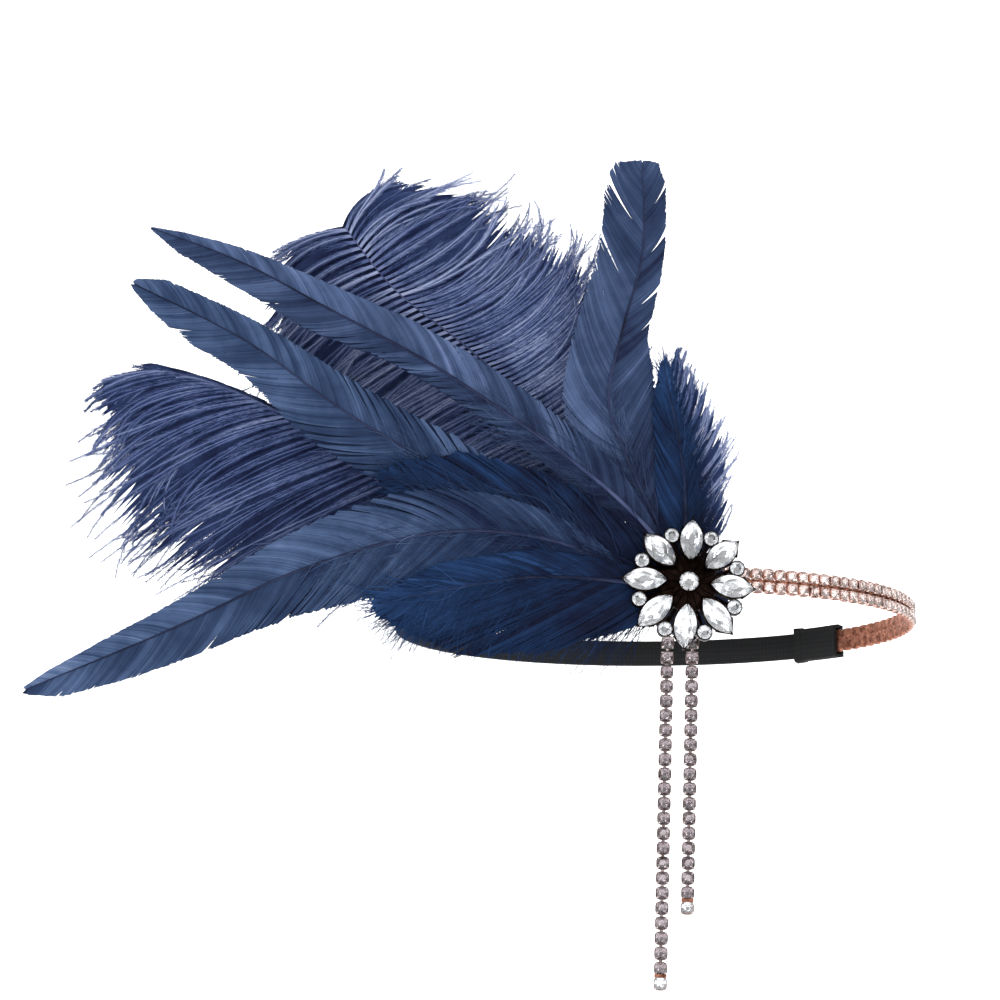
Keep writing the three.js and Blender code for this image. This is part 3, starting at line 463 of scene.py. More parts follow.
def barb_paths(at, root, reach, side, out, shift):
    """Curved paths from the shaft to the vane's edge. shift moves a barb's tip along the shaft, in mm."""
    t = np.linspace(0, 1, BARB_STEPS)[None, :, None]
    foot = at(root)[0]
    bend, along, left = at(root + 0.42 * reach)
    bend = bend + left * (side * out * 0.62)[:, None] + along * (0.2 * shift)[:, None]
    tip, along, left = at(root + reach)
    tip = tip + left * (side * out)[:, None] + along * shift[:, None]
    return foot[:, None] * (1 - t) ** 2 + bend[:, None] * 2 * t * (1 - t) + tip[:, None] * t ** 2


def vane_side(feather, side, at, run):
    """One side of a vane: barbs hooked together edge to edge except where it has split.

    Behind the locks of a frayed stretch lies a closed lower layer, in their shade.
    """
    table = np.array(feather["vane"])
    slope = 1 / math.tan(math.radians(feather["barb_angle"]))

    def width(share):
        return feather["width"] * np.interp(share, table[:, 0], table[:, 1 if side > 0 else 2])

    count = int(run / BARB_SPACING)
    root = np.linspace(0.04, 0.998, count)
    reach = np.minimum(width(root + 0.5 * width(root) * slope / run) * slope / run, 1.0 - root)
    end = root + reach
    out = np.minimum(width(end), (1.003 - root) * run / slope)
    blunt = feather["blunt"] * np.clip((end - 0.97) / 0.03, 0, 1) * (1 - (out / width(1.0)).clip(0, 1) ** 2)
    shift = blunt + 0.12 * smooth_noise(count, 3) + 0.06 * RNG.normal(size=count)
    splits = [row[1:] for row in feather["splits"] if row[0] == side]
    # small nicks all along the edge, besides the larger splits
    splits += [(RNG.uniform(0.3, 0.97), RNG.uniform(0.3, 1.1), 0.012) for _ in range(feather["nicks"])]
    for share, gap, spread in splits:
        away = root - share
        shift += np.sign(away) * gap / 2 * np.exp(-np.abs(away) / spread)
    out = out * (1 + 0.015 * RNG.normal(size=count)) + 0.1
    t = np.linspace(0, 1, BARB_STEPS)
    half = BARB_SPACING * math.sin(math.radians(feather["barb_angle"] + 12)) * np.interp(
        t, [0, 0.1, 0.85, 1], [0.7, 1, 1, 0.6])
    # the vane darkens towards its root: painted shade where the feathers crowd in at the flower
    tone = np.interp(root + 0.4 * reach, [0.1, 0.45, 1], feather["tone"])
    # one side lighter, the other darker: painted light and shade on the vane's two sides
    tone = tone + feather["light"][0 if side > 0 else 1]
    layers = []
    for fray_side, low, high, pitch in feather["fray"]:
        if fray_side == side:
            under = np.flatnonzero((root > low) & (root < high))[::2]
            paths = barb_paths(at, root, reach, side, 0.97 * out, shift)[under]
            layers.append(ribbons(feather, paths, 2.4 * half, -0.5 * t, 0.35 * tone[under, None]))
            lock = root * run / pitch + 0.35 * smooth_noise(count, 1.5 * pitch / BARB_SPACING)
            inside = np.interp(root, [low, low + 0.04, high - 0.04, high], [0, 1, 1, 0])
            shift -= inside * (lock % 1 - 0.5) * pitch * 0.8
    lift = 0.05 * out[:, None] * np.sin(t * math.pi)[None] + 0.15 * smooth_noise(count, 14)[:, None] * t[None]
    tone = tone + 0.07 * (smooth_noise(count, 4) + smooth_noise(count, 20)) + 0.05 * RNG.normal(size=count)
    layers.append(ribbons(feather, barb_paths(at, root, reach, side, out, shift), 0.95 * half, lift,
                          tone[:, None] + 0.12 * (t[None] - 0.5), roof=0.1, tilt=0.06))
    return layers


def down_part(feather, at, count, low, high, length, least, most):
    """Downy barbs that have come unhooked near the foot of a feather, and wave about."""
    root = RNG.uniform(low, high, count)
    place, along, _ = at(root)
    t = np.linspace(0, 1, 12)[None]
    away = RNG.uniform(least, most, count)
    heading = np.arctan2(along[:, 1], along[:, 0]) + away
    turn = RNG.normal(0, 0.4, count) - np.sign(away) * 0.2
    wave = RNG.normal(0, 0.22, count)[:, None] * np.sin(t * 7 + RNG.uniform(0, 6, count)[:, None])
    size = length * RNG.uniform(0.4, 1.15, count) * np.interp(root, [low, high], [1, 0.55])
    path = grown(place, heading[:, None] + turn[:, None] * t ** 1.5 + wave, size)
    lift = RNG.normal(0, 0.9, count)[:, None] * t ** 1.5
    half = RNG.uniform(0.09, 0.19, count)[:, None] * np.interp(t, [0, 0.3, 1], [1, 0.9, 0.2])
    # dark near the foot, from the vane's tone: painted shade where the feathers crowd in at the flower
    base = np.interp(root, [0.1, 0.45, 1], feather["tone"])
    shade = (base + 0.02 + 0.08 * RNG.normal(size=count))[:, None] + 0.1 * (t - 0.3)
    return ribbons(feather, path, half, lift, shade)


def make_quill(name, feather):
    at, run = shaft_line(feather)
    parts = vane_side(feather, 1, at, run) + vane_side(feather, -1, at, run)
    parts += [down_part(feather, at, *row) for row in feather["down"]]
    parts.append(shaft_part(feather, 1.6, 0.3, *feather["shaft"]))
    make_piece(name + "_barbs", parts, [feather["dye"], FEATHER_SHAFT], [name])


for quill_name, quill_table in QUILLS.items():
    make_quill(quill_name, quill_table)


# bulge: how far in mm the bundles of barbs stand apart in depth. tone: the barbs' shade. barbule and mat: the
# barbules' length and the half width of the underlayer's barbs, in mm; the underlayer is painted dark, as
# painted shade in the gaps between the bundles.
# Each side of a plume has how many barbs, the share of the shaft where they start, how much lighter it is
# (painted light, against the shade of the quills over it), and rows of: share along, the directions in
# degrees in which a barb starts and ends, and its length in mm.
PLUMES = {
    "plume_top": dict(
        layer=0, length=164, lean=131.7, splay=-8, bulge=5, tone=0.52, barbule=4.0, mat=1.5,
        spine=[(0.27, -0.026), (0.6, -0.018), (0.83, 0.013), (1, 0)],
        sides=[
            (220, 0.36, 0.02, [(0.35, 28, 72, 36), (0.5, 24, 72, 46), (0.65, 14, 70, 52), (0.78, 8, 62, 50),
                               (0.88, 30, 40, 46), (0.94, 55, 0, 46), (1, 80, 25, 22)]),
            (196, 0.25, 0.05, [(0.35, 200, 212, 56), (0.6, 200, 226, 60), (0.8, 204, 244, 62),
                               (0.93, 196, 238, 46), (1, 182, 222, 24)])]),
    "plume_left": dict(
        layer=1, length=180, lean=156.8, splay=4, bulge=3, tone=0.4, barbule=4.0, mat=1.5,
        spine=[(0.17, -0.025), (0.5, 0.004), (0.84, -0.015), (1, 0)],
        sides=[
            (212, 0.22, 0, [(0.3, 205, 205, 58), (0.45, 203, 212, 70), (0.58, 200, 218, 80),
                            (0.7, 194, 226, 78), (0.8, 186, 234, 66), (0.9, 180, 226, 44),
                            (1, 176, 210, 24)]),
            (60, 0.4, 0, [(0.5, 150, 172, 28), (1, 156, 172, 12)])]),
    "down_tuft": dict(
        layer=2, length=70, lean=93, splay=4, bulge=1, tone=0.58, barbule=3.0, mat=1.0,
        spine=[(0.1, 0), (0.5, -0.04), (1, 0)],
        sides=[
            (64, 0.12, 0, [(0.15, 32, 66, 24), (0.4, 44, 68, 25), (0.7, 56, 74, 20), (1, 76, 84, 11)]),
            (30, 0.35, 0, [(0.3, 122, 108, 18), (1, 102, 98, 8)])]),
}
PLUME_STEPS = 20
BUNDLE = 4  # barbs that cling together
BARBULE_SPACING = 0.5  # mm, coarser than a real plume's 0.1 mm


def plume_side(feather, at, count, low, light, rows):
    """One side of a plume: long loose barbs in bundles, with soft barbules down both sides of each barb."""
    bundles = count // BUNDLE
    count = bundles * BUNDLE
    of_bundle = lambda spread: np.repeat(RNG.normal(0, spread, bundles), BUNDLE)
    share = low + (1 - low) * (np.arange(count) + 0.5) / count
    centre = share.reshape(bundles, BUNDLE).mean(axis=1).repeat(BUNDLE)
    share = np.clip(centre + (share - centre) * 0.45, 0, 1)
    table = np.array(rows)
    start, end, length = (np.interp(share, table[:, 0], table[:, k]) for k in (1, 2, 3))
    t = np.linspace(0, 1, PLUME_STEPS)[None]
    mat_start, mat_end, place = np.radians(start), np.radians(end), at(share)[0]
    path = grown(place, mat_start[:, None] + (mat_end - mat_start)[:, None] * t,
                 length * RNG.uniform(0.78, 0.95, count))
    half = feather["mat"] * np.interp(t, [0, 0.7, 1], [1, 0.8, 0.05])
    lift = -0.8 * np.minimum(1, 12 * opened(path)) + 0.2 * RNG.normal(size=(count, 1))
    # the underlayer is painted dark, as painted shade in the gaps between the bundles, lighter at random
    # towards its ends
    mat = ribbons(feather, path, half, lift, 0.04 + (0.1 + 0.3 * RNG.random((count, 1))) * t)

    start = np.radians(start + of_bundle(1.2) + RNG.normal(0, 1, count))
    end = np.radians(end + of_bundle(5) + RNG.normal(0, 5, count))
    length = length * (1 + of_bundle(0.06)) * RNG.uniform(0.76, 1.1, count)
    curl = (of_bundle(0.22) + RNG.normal(0, 0.22, count))[:, None] * t ** 4
    path = grown(place, start[:, None] + (end - start)[:, None] * t + curl, length)
    level = (of_bundle(0.45) + RNG.normal(0, 0.25, count)).clip(-1, 1)
    lift = feather["bulge"] * level[:, None] * t * np.maximum(opened(path), 0.06)
    # the barbs underneath are in the shade of the ones on top, so the dye looks darker there
    # light lifts a whole side: painted light, against the shade of the quills over it
    tone = feather["tone"] + light + of_bundle(0.07) + 0.05 * RNG.normal(size=count) + 0.08 * level
    barbs = ribbons(feather, path, 0.2 * np.interp(t, [0, 1], [1, 0.35]), lift + 0.1,
                    tone[:, None] + 0.16 + 0.1 * (t - 0.3))
    parts = [mat, barbs]

    each = int(np.mean(length) / BARBULE_SPACING)
    where = np.linspace(0.04, 0.99, each)
    step = np.minimum((where * (PLUME_STEPS - 1)).astype(int), PLUME_STEPS - 2)
    part_way = (where * (PLUME_STEPS - 1) - step)[None, :, None]
    foot = path[:, step] * (1 - part_way) + path[:, step + 1] * part_way
    forward = path[:, step + 1] - path[:, step]
    heading = np.arctan2(forward[..., 1], forward[..., 0])
    foot_lift = lift[:, step] * (1 - part_way[..., 0]) + lift[:, step + 1] * part_way[..., 0]
    size = feather["barbule"] * np.interp(where, [0, 0.12, 0.7, 1], [0.5, 1, 0.9, 0.3])[None]
    spread = np.interp(where, [0, 0.6, 1], [11, 13, 26])[None]  # degrees between a barbule and its barb
    for wing in (-1.0, 1.0):
        angle = heading + wing * np.radians(spread * RNG.uniform(0.5, 1.4, (count, each)))
        reach = size * RNG.uniform(0.55, 1.15, (count, each))
        line = grown(foot.reshape(-1, 2), np.repeat(angle.reshape(-1, 1), 2, axis=1), reach.reshape(-1))
        raised = foot_lift.reshape(-1, 1) + RNG.normal(-0.1, 0.3, (count * each, 1)) * np.array([[0, 1.0]])
        shade = np.repeat(tone, each) + np.tile(0.1 * (where - 0.3), count)
        shade = shade + 0.05 * RNG.normal(size=count * each)
        # barbules a little lighter at the barb and darker at their tips: painted shade at each bundle's edges
        parts.append(ribbons(feather, line, np.array([[0.1, 0.03]]), raised,
                             shade[:, None] + np.array([[0.06, -0.22]])))
    return parts


def make_plume(name, feather):
    at, _ = shaft_line(feather)
    parts = []
    for side in feather["sides"]:
        parts += plume_side(feather, at, *side)
    parts.append(shaft_part(feather, 1.1, 0.3, 0.4, 0.5))
    make_piece(name + "_barbs", parts, [OSTRICH_PLUME, FEATHER_SHAFT], [name])


for plume_name, plume_table in PLUMES.items():
    make_plume(plume_name, plume_table)


# Head loop

LOOP_ANGLES = -math.acos(FLOWER_X / FRONT_REACH) + np.linspace(0, 2 * np.pi, 7201)


def loop_point(angle, outset, height):
    """Points outset from the inside of the loop, in millimetres."""
    reach = np.where(np.cos(angle) > 0, FRONT_REACH, BACK_REACH)
    x, y = reach * np.cos(angle), SIDE_REACH * np.sin(angle)
    out_x, out_y = np.cos(angle) / reach, np.sin(angle) / SIDE_REACH
    size = np.hypot(out_x, out_y)
    x, y = x + out_x / size * outset, y + out_y / size * outset
    return np.stack(np.broadcast_arrays(x, y, height), axis=-1)


def loop_rings(angles, outline, stretch=1):
    """A cross-section of outsets and heights carried round part of the loop, as ring, point, xyz."""
    return np.stack([loop_point(angles, outset, height * stretch) for outset, height in outline], axis=1)


LOOP_RUN = np.r_[0, np.cumsum(np.linalg.norm(np.diff(loop_point(LOOP_ANGLES, 0, 0.0), axis=0), axis=1))]


def loop_angle(distance):
    """Angle of the loop at a distance round it from the flower, towards the forehead."""
    return np.interp(distance, LOOP_RUN, LOOP_ANGLES)


CHAIN_START = END_GAP / 2
CHAIN_END = CHAIN_START + CRYSTAL_COLUMNS * COLUMN_PITCH
KEEPER_START = CHAIN_END - KEEPER_GRIP
KEEPER_END = KEEPER_START + KEEPER_LENGTH
ELASTIC_START = KEEPER_END - KEEPER_GRIP
ELASTIC_END = LOOP_RUN[-1] - END_GAP / 2


def ribbed_outline(inner, outer, height, ribs, depth):
    """Outset and height of a strap's cross-section: rounded edges and fine ribs on its outer face."""
    face = []
    rows = ribs * 4
    for i in range(rows + 1):
        share = i / rows
        face.append((outer - depth * (0.5 - 0.5 * math.cos(2 * math.pi * ribs * share)),
                     height * (0.46 - 0.92 * share)))
    middle = (inner + outer) / 2
    return np.array([(inner, -height * 0.46), (inner, height * 0.46), (middle, height * 0.5)] + face
                    + [(middle, -height * 0.5)])


def strap_part(start, end, steps, outline):
    """A strap swept round part of the loop, with its map in millimetres along and across."""
    distances = np.linspace(start, end, steps)
    angles = loop_angle(distances)
    rings = loop_rings(angles, outline)
    uv = np.stack(np.broadcast_arrays(distances[:, None], outline[None, :, 1]), axis=-1).reshape(-1, 2)
    return swept(rings), uv


strap, strap_map = strap_part(
    ELASTIC_START, ELASTIC_END, 240,
    ribbed_outline(CHAIN_DEPTH - ELASTIC_WALL, CHAIN_DEPTH, ELASTIC_HEIGHT, 6, 0.12))
make_piece("elastic_strap_woven", [strap], [ELASTIC], ["elastic_strap"], uv=strap_map)


def make_keeper():
    """The keeper: a short folded tube of the same elastic, with cords round it and open ends."""
    inner, outer = -SEAT_CLEARANCE - KEEPER_WALL, CHAIN_DEPTH + SEAT_CLEARANCE + KEEPER_WALL
    distances = np.linspace(KEEPER_START, KEEPER_END, 60)
    angles = loop_angle(distances)
    outside = ribbed_outline(inner, outer, KEEPER_HEIGHT, 8, 0.25)
    hole = KEEPER_HEIGHT - 2 * KEEPER_WALL
    low, high = inner + KEEPER_WALL, outer - KEEPER_WALL
    inside = np.array([(low, hole / 2), (low, -hole / 2), (high, -hole / 2), (high, hole / 2)])
    # every inner corner answers to the nearest outer point, so the end faces close
    nearest = [int(np.argmin(np.hypot(*(inside * [1, 1] - point).T))) for point in outside]
    bore = inside[nearest]
    # the fold stands out a little where the end is turned over and stitched
    lip = 1 + 0.08 * np.interp(KEEPER_END - distances, [0, 2.6, 3], [1, 0.8, 0])
    rings, bores = loop_rings(angles, outside, lip), loop_rings(angles, bore)
    uv = np.stack(np.broadcast_arrays(distances[:, None], outside[None, :, 1]), axis=-1).reshape(-1, 2)
    shell = swept(rings, closed=False)
    liner = swept(bores[::-1], closed=False)
    ends = [swept(np.stack(pair), closed=False) for pair in ((bores[0], rings[0]), (rings[-1], bores[-1]))]
    flat = np.zeros((len(liner["points"]) + sum(len(e["points"]) for e in ends), 2))
    make_piece("elastic_keeper_woven", [shell, liner, *ends], [ELASTIC], ["elastic_keeper"],
               uv=np.concatenate([uv, flat]))


make_keeper()
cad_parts["backing_pad"].data.materials.clear()
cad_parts["backing_pad"].data.materials.append(FELT)


# Stones and cups

CHAIN_CUP, CHAIN_STONE = 1.98, 1.8


def cut_stone(outline, table_share, depth, crown, glass, foil):
    """A brilliant cut on an outline of 16 girdle points: a table of 8 sides, a crown and a foiled back."""
    girdle = np.asarray(outline, float)
    table = girdle[::2] * table_share
    back = girdle[::2] * 0.3
    points = np.concatenate([
        np.c_[girdle, np.zeros(16)], np.c_[table, np.full(8, crown)], np.c_[back, np.full(8, -depth)]])
    crown_faces, back_faces = [list(range(16, 24))], [list(range(31, 23, -1))]
    for i in range(8):
        a, b, c = 2 * i, 2 * i + 1, (2 * i + 2) % 16
        here, after = 16 + i, 16 + (i + 1) % 8
        crown_faces += [[here, a, b], [here, b, after], [after, b, c]]
        low, low_after = 24 + i, 24 + (i + 1) % 8
        back_faces += [[low, b, a], [low, low_after, b], [low_after, c, b]]
    return [part_of(points, crown_faces, glass), part_of(points, back_faces, foil)]


def round_outline(radius, power=2):
    """16 points of a circle, or of a rounded square when the power is above 2."""
    angles = np.arange(16) * np.pi / 8
    reach = radius * (np.abs(np.cos(angles)) ** power + np.abs(np.sin(angles)) ** power) ** (-1 / power)
    return np.stack([reach * np.cos(angles), reach * np.sin(angles)], axis=-1)


def navette_outline(length, width):
    """Two equal arcs that meet in a point at each end, as 16 points."""
    radius = (length ** 2 + width ** 2) / (4 * width)
    half = math.asin(length / 2 / radius)
    points = []
    for side in (1, -1):
        for i in range(8):
            angle = half - 2 * half * i / 8
            across = side * (radius * math.cos(angle) - radius + width / 2)
            points.append((side * radius * math.sin(angle), across))
    return np.array(points)


def claw(radius, turn, foot, top, thick, over):
    """A claw that stands on a cup's rim and bends over the stone's edge."""
    centres = [(radius, foot), (radius, foot + (top - foot) * 0.55),
               (radius - over * 0.3, top * 0.97 + foot * 0.03), (radius - over, top)]
    sizes = [thick, thick, thick * 0.8, thick * 0.45]
    rings = []
    for (r, z), size in zip(centres, sizes):
        rings.append([(r + size * dr, size * dt, z + size * dz) for dr, dt, dz in
                      ((1, 0.0, 0), (0.4, 0.8, 0.3), (-0.6, 0.6, 0.4), (-0.6, -0.6, 0.4), (0.4, -0.8, 0.3))])
    return moved(swept(rings), Matrix.Rotation(turn, 4, "Z"))


def chain_unit(radius, depth, stone_radius, place):
    """One cup of cup chain at a place: a rounded square with a claw at each corner, and the stone in it."""
    rim = depth * 0.62
    profile = [(0.45, 0), (0.84, 0.15), (0.98, 0.5), (1, rim), (0.9, rim), (0.8, 0.5)]
    cup = swept([np.c_[round_outline(radius * share, 4), np.full(16, z)] for share, z in profile], 3)
    claws = [claw(radius * 1.06, math.radians(45 + 90 * i), rim * 0.5, rim + 0.5, 0.36, 0.7)
             for i in range(4)]
    # stones are never set quite alike
    seat = np.array(place) @ np.array(
        Matrix.Translation((0, 0, rim)) @ Matrix.Rotation(math.radians(90 * RNG.integers(4)), 4, "Z")
        @ Euler(RNG.normal(0, 0.09, 3)).to_matrix().to_4x4())
    stone = cut_stone(round_outline(stone_radius, 3), 0.5, rim * 0.5, depth - rim + 0.25, 1, 2)
    return [moved(part, place) for part in [cup, *claws]] + [moved(part, seat) for part in stone]


def basis(x_axis, y_axis, z_axis, origin):
    """The 4 by 4 matrix that carries a unit's axes to these."""
    matrix = np.eye(4)
    matrix[:3, 0], matrix[:3, 1], matrix[:3, 2], matrix[:3, 3] = x_axis, y_axis, z_axis, origin
    return matrix


def make_crystal_band():
    parts = []
    for column in range(CRYSTAL_COLUMNS):
        angle = loop_angle(CHAIN_START + (column + 0.5) * COLUMN_PITCH)
        foot = loop_point(angle, 0, 0.0)
        out = loop_point(angle, 1, 0.0) - foot
        along = np.cross((0, 0, 1), out)
        for row in (-0.5, 0.5):
            origin = foot + np.array((0, 0, row * ROW_PITCH))
            place = basis(along, (0, 0, 1), out, origin)
            parts += chain_unit(CHAIN_CUP, CHAIN_DEPTH, CHAIN_STONE, place)
    # the strips that join the cups of a row and the two rows
    angles = loop_angle(np.linspace(CHAIN_START, CHAIN_END, 160))
    for low, high in ((-3.2, -1.0), (1.0, 3.2), (-0.55, 0.55)):
        outline = [(0.15, low), (0.15, high), (0.6, high), (0.6, low)]
        parts.append(swept(loop_rings(angles, outline), 3))
    make_piece("crystal_band_cups", parts, [ROSE_GOLD, CUT_GLASS, ROSE_FOIL, COPPER_CUP],
               ["crystal_band"], smooth=False)


make_crystal_band()


# Flower, in its own frame: x to the forehead, y up, z away from the head

FLOWER_FRAME = basis((1, 0, 0), (0, 0, 1), (0, -1, 0), (FLOWER_X, -FLOWER_BACK, -FLOWER_DROP))
PETALS, PETAL_LENGTH, PETAL_WIDTH, PETAL_START, PETAL_SLOPE, PETAL_DEPTH = 8, 14, 7, 6.1, 14, 3.4
CUP_RIM, CUP_WALL, CUP_POCKET, FLOWER_LIFT = 0.6, 1.9, 1.1, 0.4
CENTRE_RADIUS, CENTRE_DEPTH = 3.0, 3.6
ACCENT_RADIUS, ACCENT_DEPTH, ACCENT_REACH, ARM_WALL = 1.7, 2.2, 16, 1.2
PETAL_MIDDLE = PETAL_START + PETAL_LENGTH / 2
CUP_FLOOR = FLOWER_LIFT + (PETAL_LENGTH / 2 + CUP_RIM) * math.sin(math.radians(PETAL_SLOPE))
HUB_TOP = CUP_FLOOR + CUP_WALL + (PETAL_LENGTH / 2) * math.sin(math.radians(PETAL_SLOPE))


def flower_turn(step):
    """Angle of a petal in the flower's frame, counted from the top one."""
    return math.radians(90 + FLOWER_TURN + step * 360 / PETALS)


def make_stone(node, parts, level, matrix):
    """Sets the two parts of a cut stone at a level in a frame of the flower."""
    seat = np.array(matrix) @ np.array(Matrix.Translation((0, 0, level)))
    make_piece(node + "_cut", [moved(part, seat) for part in parts], [CUT_GLASS, SILVER_FOIL],
               [node], smooth=False)


def make_flower():
    claws = []
    for i in range(PETALS):
        petal = (Matrix.Rotation(flower_turn(i), 4, "Z") @ Matrix.Translation((PETAL_MIDDLE, 0, CUP_FLOOR))
                 @ Matrix.Rotation(math.radians(PETAL_SLOPE), 4, "Y"))
        frame_of = FLOWER_FRAME @ np.array(petal)
        girdle = CUP_WALL + 0.2
        parts = cut_stone(navette_outline(PETAL_LENGTH, PETAL_WIDTH), 0.56,
                          CUP_POCKET, PETAL_DEPTH - 1.0, 0, 1)
        make_stone(f"petal_stone_{i + 1}", parts, girdle, frame_of)
        for end in (0, math.pi):
            tip = claw(PETAL_LENGTH / 2 + 0.3, end, CUP_WALL * 0.5, girdle + 0.75, 0.45, 0.95)
            claws.append(moved(tip, frame_of))
        for across in (-1, 1):
            for along in (-0.26, 0.26):
                rest = claw(PETAL_WIDTH / 2 * 0.93, across * math.pi / 2,
                            CUP_WALL * 0.5, girdle + 0.5, 0.32, 0.55)
                claws.append(moved(moved(rest, Matrix.Translation((along * PETAL_LENGTH, 0, 0))), frame_of))

        accent = (Matrix.Rotation(flower_turn(i + 0.5), 4, "Z") @ Matrix.Translation((ACCENT_REACH, 0, 0)))
        frame_of = FLOWER_FRAME @ np.array(accent)
        level = ARM_WALL + SEAT_CLEARANCE + ACCENT_DEPTH * 0.6
        parts = cut_stone(round_outline(ACCENT_RADIUS + 0.5), 0.55,
                          ACCENT_DEPTH * 0.5, ACCENT_DEPTH * 0.45, 0, 1)
        make_stone(f"accent_stone_{i + 1}", parts, level, frame_of)
        for quarter in range(4):
            tip = claw(ACCENT_RADIUS + 0.6, math.radians(45 + 90 * quarter), ARM_WALL, level + 0.5, 0.22, 0.5)
            claws.append(moved(tip, frame_of))

    level = HUB_TOP - CUP_POCKET + SEAT_CLEARANCE + CENTRE_DEPTH * 0.45
    parts = cut_stone(round_outline(CENTRE_RADIUS), 0.55, CENTRE_DEPTH * 0.4, CENTRE_DEPTH * 0.5, 0, 1)
    make_stone("centre_stone", parts, level, FLOWER_FRAME)
    for i in range(8):
        tip = claw(CENTRE_RADIUS + 0.5, flower_turn(i), HUB_TOP - 1, level + 0.6, 0.4, 0.9)
        claws.append(moved(tip, FLOWER_FRAME))

    # raised spokes run out over the hub, between the petals and under their inner points
    for i in range(2 * PETALS):
        spokes = []
        for r, half in ((CENTRE_RADIUS + 0.8, 0.35), (5, 0.32), (7, 0.28), (9, 0.15)):
            top = CUP_FLOOR + (PETAL_MIDDLE - r) * math.tan(math.radians(PETAL_SLOPE)) + 0.5
            spokes.append([(r, -half, top - 0.3), (r, half, top - 0.3), (r, 0, top + 0.3)])
        claws.append(moved(moved(swept(spokes), Matrix.Rotation(flower_turn(i / 2), 4, "Z")), FLOWER_FRAME))

    make_piece("flower_claws", claws, [ANTIQUE_BRONZE], [], smooth=False)
    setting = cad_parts["flower_setting"]
    setting.data.materials.clear()
    setting.data.materials.append(ANTIQUE_BRONZE)


make_flower()

STRANDS = {"strand_long": (-6.6, 23), "strand_short": (1.1, 18)}
STRAND_PITCH, STRAND_LEAN, HANGER_DROP, HANGER_EYE, RING_RADIUS, RING_WIRE = 4.5, 2, 18.2, 0.85, 1.25, 0.28
STRAND_GIRDLE, STRAND_DEPTH, STRAND_PLANE = 2.0, 2.1, 1.1
STRAND_CUP, STRAND_STONE = 2.02, 1.8


def ring_part(radius, wire):
    """A round wire ring in the y-z plane."""
    rings = []
    for a in np.arange(24) * np.pi / 12:
        ring = []
        for b in np.arange(8) * np.pi / 4:
            reach = radius + wire * math.cos(b)
            ring.append((reach * math.cos(a), reach * math.sin(a), wire * math.sin(b)))
        rings.append(ring)
    rings.append(rings[0])
    return moved(swept(rings, closed=False), Matrix.Rotation(math.pi / 2, 4, "Y"))


def make_strand(name, across, stones):
    slack = HANGER_EYE - RING_WIRE - SEAT_CLEARANCE
    ring_drop = slack + RING_RADIUS
    back = STRAND_PLANE - STRAND_DEPTH / 2
    parts = [moved(ring_part(RING_RADIUS, RING_WIRE), Matrix.Translation((0, -ring_drop, STRAND_PLANE)))]
    first = slack + 2 * RING_RADIUS + STRAND_GIRDLE
    # a stone on the ring's front hides it
    place = Matrix.Translation((0, -first + STRAND_PITCH, back + 1.3))
    parts += chain_unit(STRAND_CUP, STRAND_DEPTH, STRAND_STONE, place)
    for i in range(stones):
        place = Matrix.Translation((0, -first - i * STRAND_PITCH, back))
        unit = chain_unit(STRAND_CUP, STRAND_DEPTH, STRAND_STONE, place)
        if i + 1 == stones:
            # the last stone hangs from a copper crimp, and its cup and foil are the brighter ones
            brighter = {2: 5, 3: 0}
            unit = [{**part, "material": brighter.get(part["material"], part["material"])} for part in unit]
            section = ((-1.8, 0.1), (1.8, 0.1), (1.8, 1.7), (-1.8, 1.7))
            crimp = [[(x, y, z) for x, z in section] for y in (1.9, 2.8)]
            unit.append(moved(swept(crimp, 4), place))
        parts += unit
        if i + 1 < stones:
            bar = swept([[(-0.5, y, 0.35), (0.5, y, 0.35), (0.5, y, 0.75), (-0.5, y, 0.75)]
                         for y in (-1.6, -STRAND_PITCH + 1.6)])
            parts.append(moved(bar, place))
    frame_of = FLOWER_FRAME @ np.array(
        Matrix.Translation((across, -HANGER_DROP, 0)) @ Matrix.Rotation(-math.radians(STRAND_LEAN), 4, "Z"))
    make_piece(name + "_cups", [moved(part, frame_of) for part in parts],
               [SMOKY_PLATE, CUT_GLASS, SMOKY_FOIL, SMOKY_CUP, COPPER_CUP, SILVER_FOIL],
               [name], smooth=False)


for strand_name, (strand_across, strand_stones) in STRANDS.items():
    make_strand(strand_name, strand_across, strand_stones)


# Studio

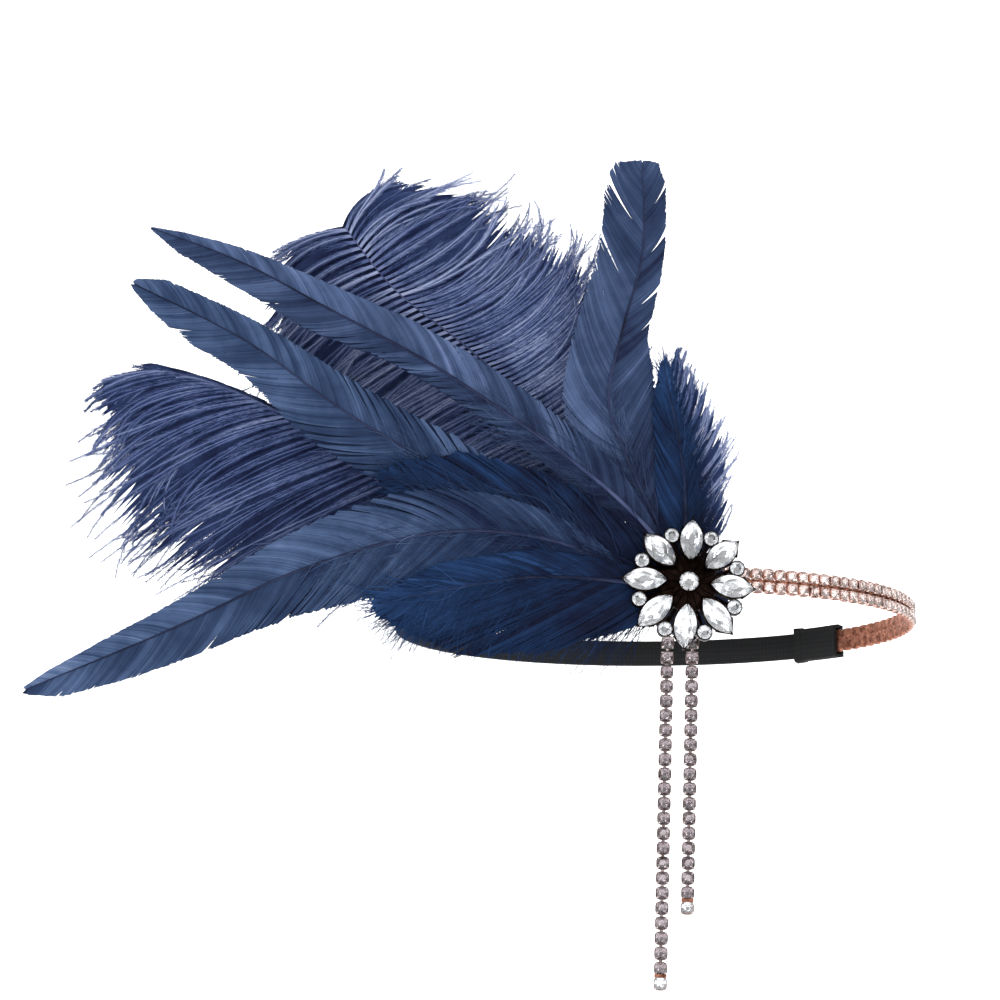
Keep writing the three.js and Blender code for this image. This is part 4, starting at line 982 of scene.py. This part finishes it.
def make_studio():
    """A white sweep behind and under the object, soft light from all round and one large soft key light."""
    white, _, shader = new_material("matt white paper sweep", "#ffffff", 0.9)
    shader.inputs["Emission Color"].default_value = (1, 1, 1, 1)
    shader.inputs["Emission Strength"].default_value = 0.85
    floor, wall, bend, reach = -0.34, 2.6, 0.8, 8.0
    profile = [(-reach, floor), (wall - bend, floor)]
    profile += [(wall - bend + bend * math.sin(a), floor + bend - bend * math.cos(a))
                for a in np.linspace(0, math.pi / 2, 13)[1:]]
    profile += [(wall, reach)]
    points = [(x, y, z) for y, z in profile for x in (-reach, reach)]
    faces = [(2 * i, 2 * i + 1, 2 * i + 3, 2 * i + 2) for i in range(len(profile) - 1)]
    mesh = bpy.data.meshes.new("paper_sweep")
    mesh.from_pydata(points, [], faces)
    mesh.polygons.foreach_set("use_smooth", [True] * len(faces))
    mesh.materials.append(white)
    sweep = bpy.data.objects.new("paper_sweep", mesh)
    bpy.context.scene.collection.objects.link(sweep)

    world = bpy.data.worlds.new("studio")
    world.use_nodes = True
    world.node_tree.nodes["Background"].inputs["Color"].default_value = (1, 1, 1, 1)
    world.node_tree.nodes["Background"].inputs["Strength"].default_value = 0.38
    bpy.context.scene.world = world

    for name, place, aim, size, power in (
            ("key", (-0.9, -1.2, 1.1), (0, 0, 0), 0.8, 10),
            ("side", (1.1, -0.9, 0.3), (0, 0, 0), 0.5, 4)):
        light = bpy.data.lights.new(name, "AREA")
        light.size = size
        light.energy = power
        lamp = bpy.data.objects.new(name, light)
        lamp.location = place
        lamp.rotation_euler = (Vector(aim) - Vector(place)).to_track_quat("-Z", "Y").to_euler()
        bpy.context.scene.collection.objects.link(lamp)


def make_camera():
    data = bpy.data.cameras.new("camera")
    data.sensor_width = 36
    data.lens = 92.88
    camera = bpy.data.objects.new("camera", data)
    camera.location = (-0.0523, -0.8787, -0.1527)
    camera.rotation_euler = Euler((math.radians(90 + 12.5), 0, 0))
    bpy.context.scene.collection.objects.link(camera)
    bpy.context.scene.camera = camera


make_studio()
make_camera()
# plain display colours, so that white paper shows as white
bpy.context.scene.view_settings.view_transform = "Standard"
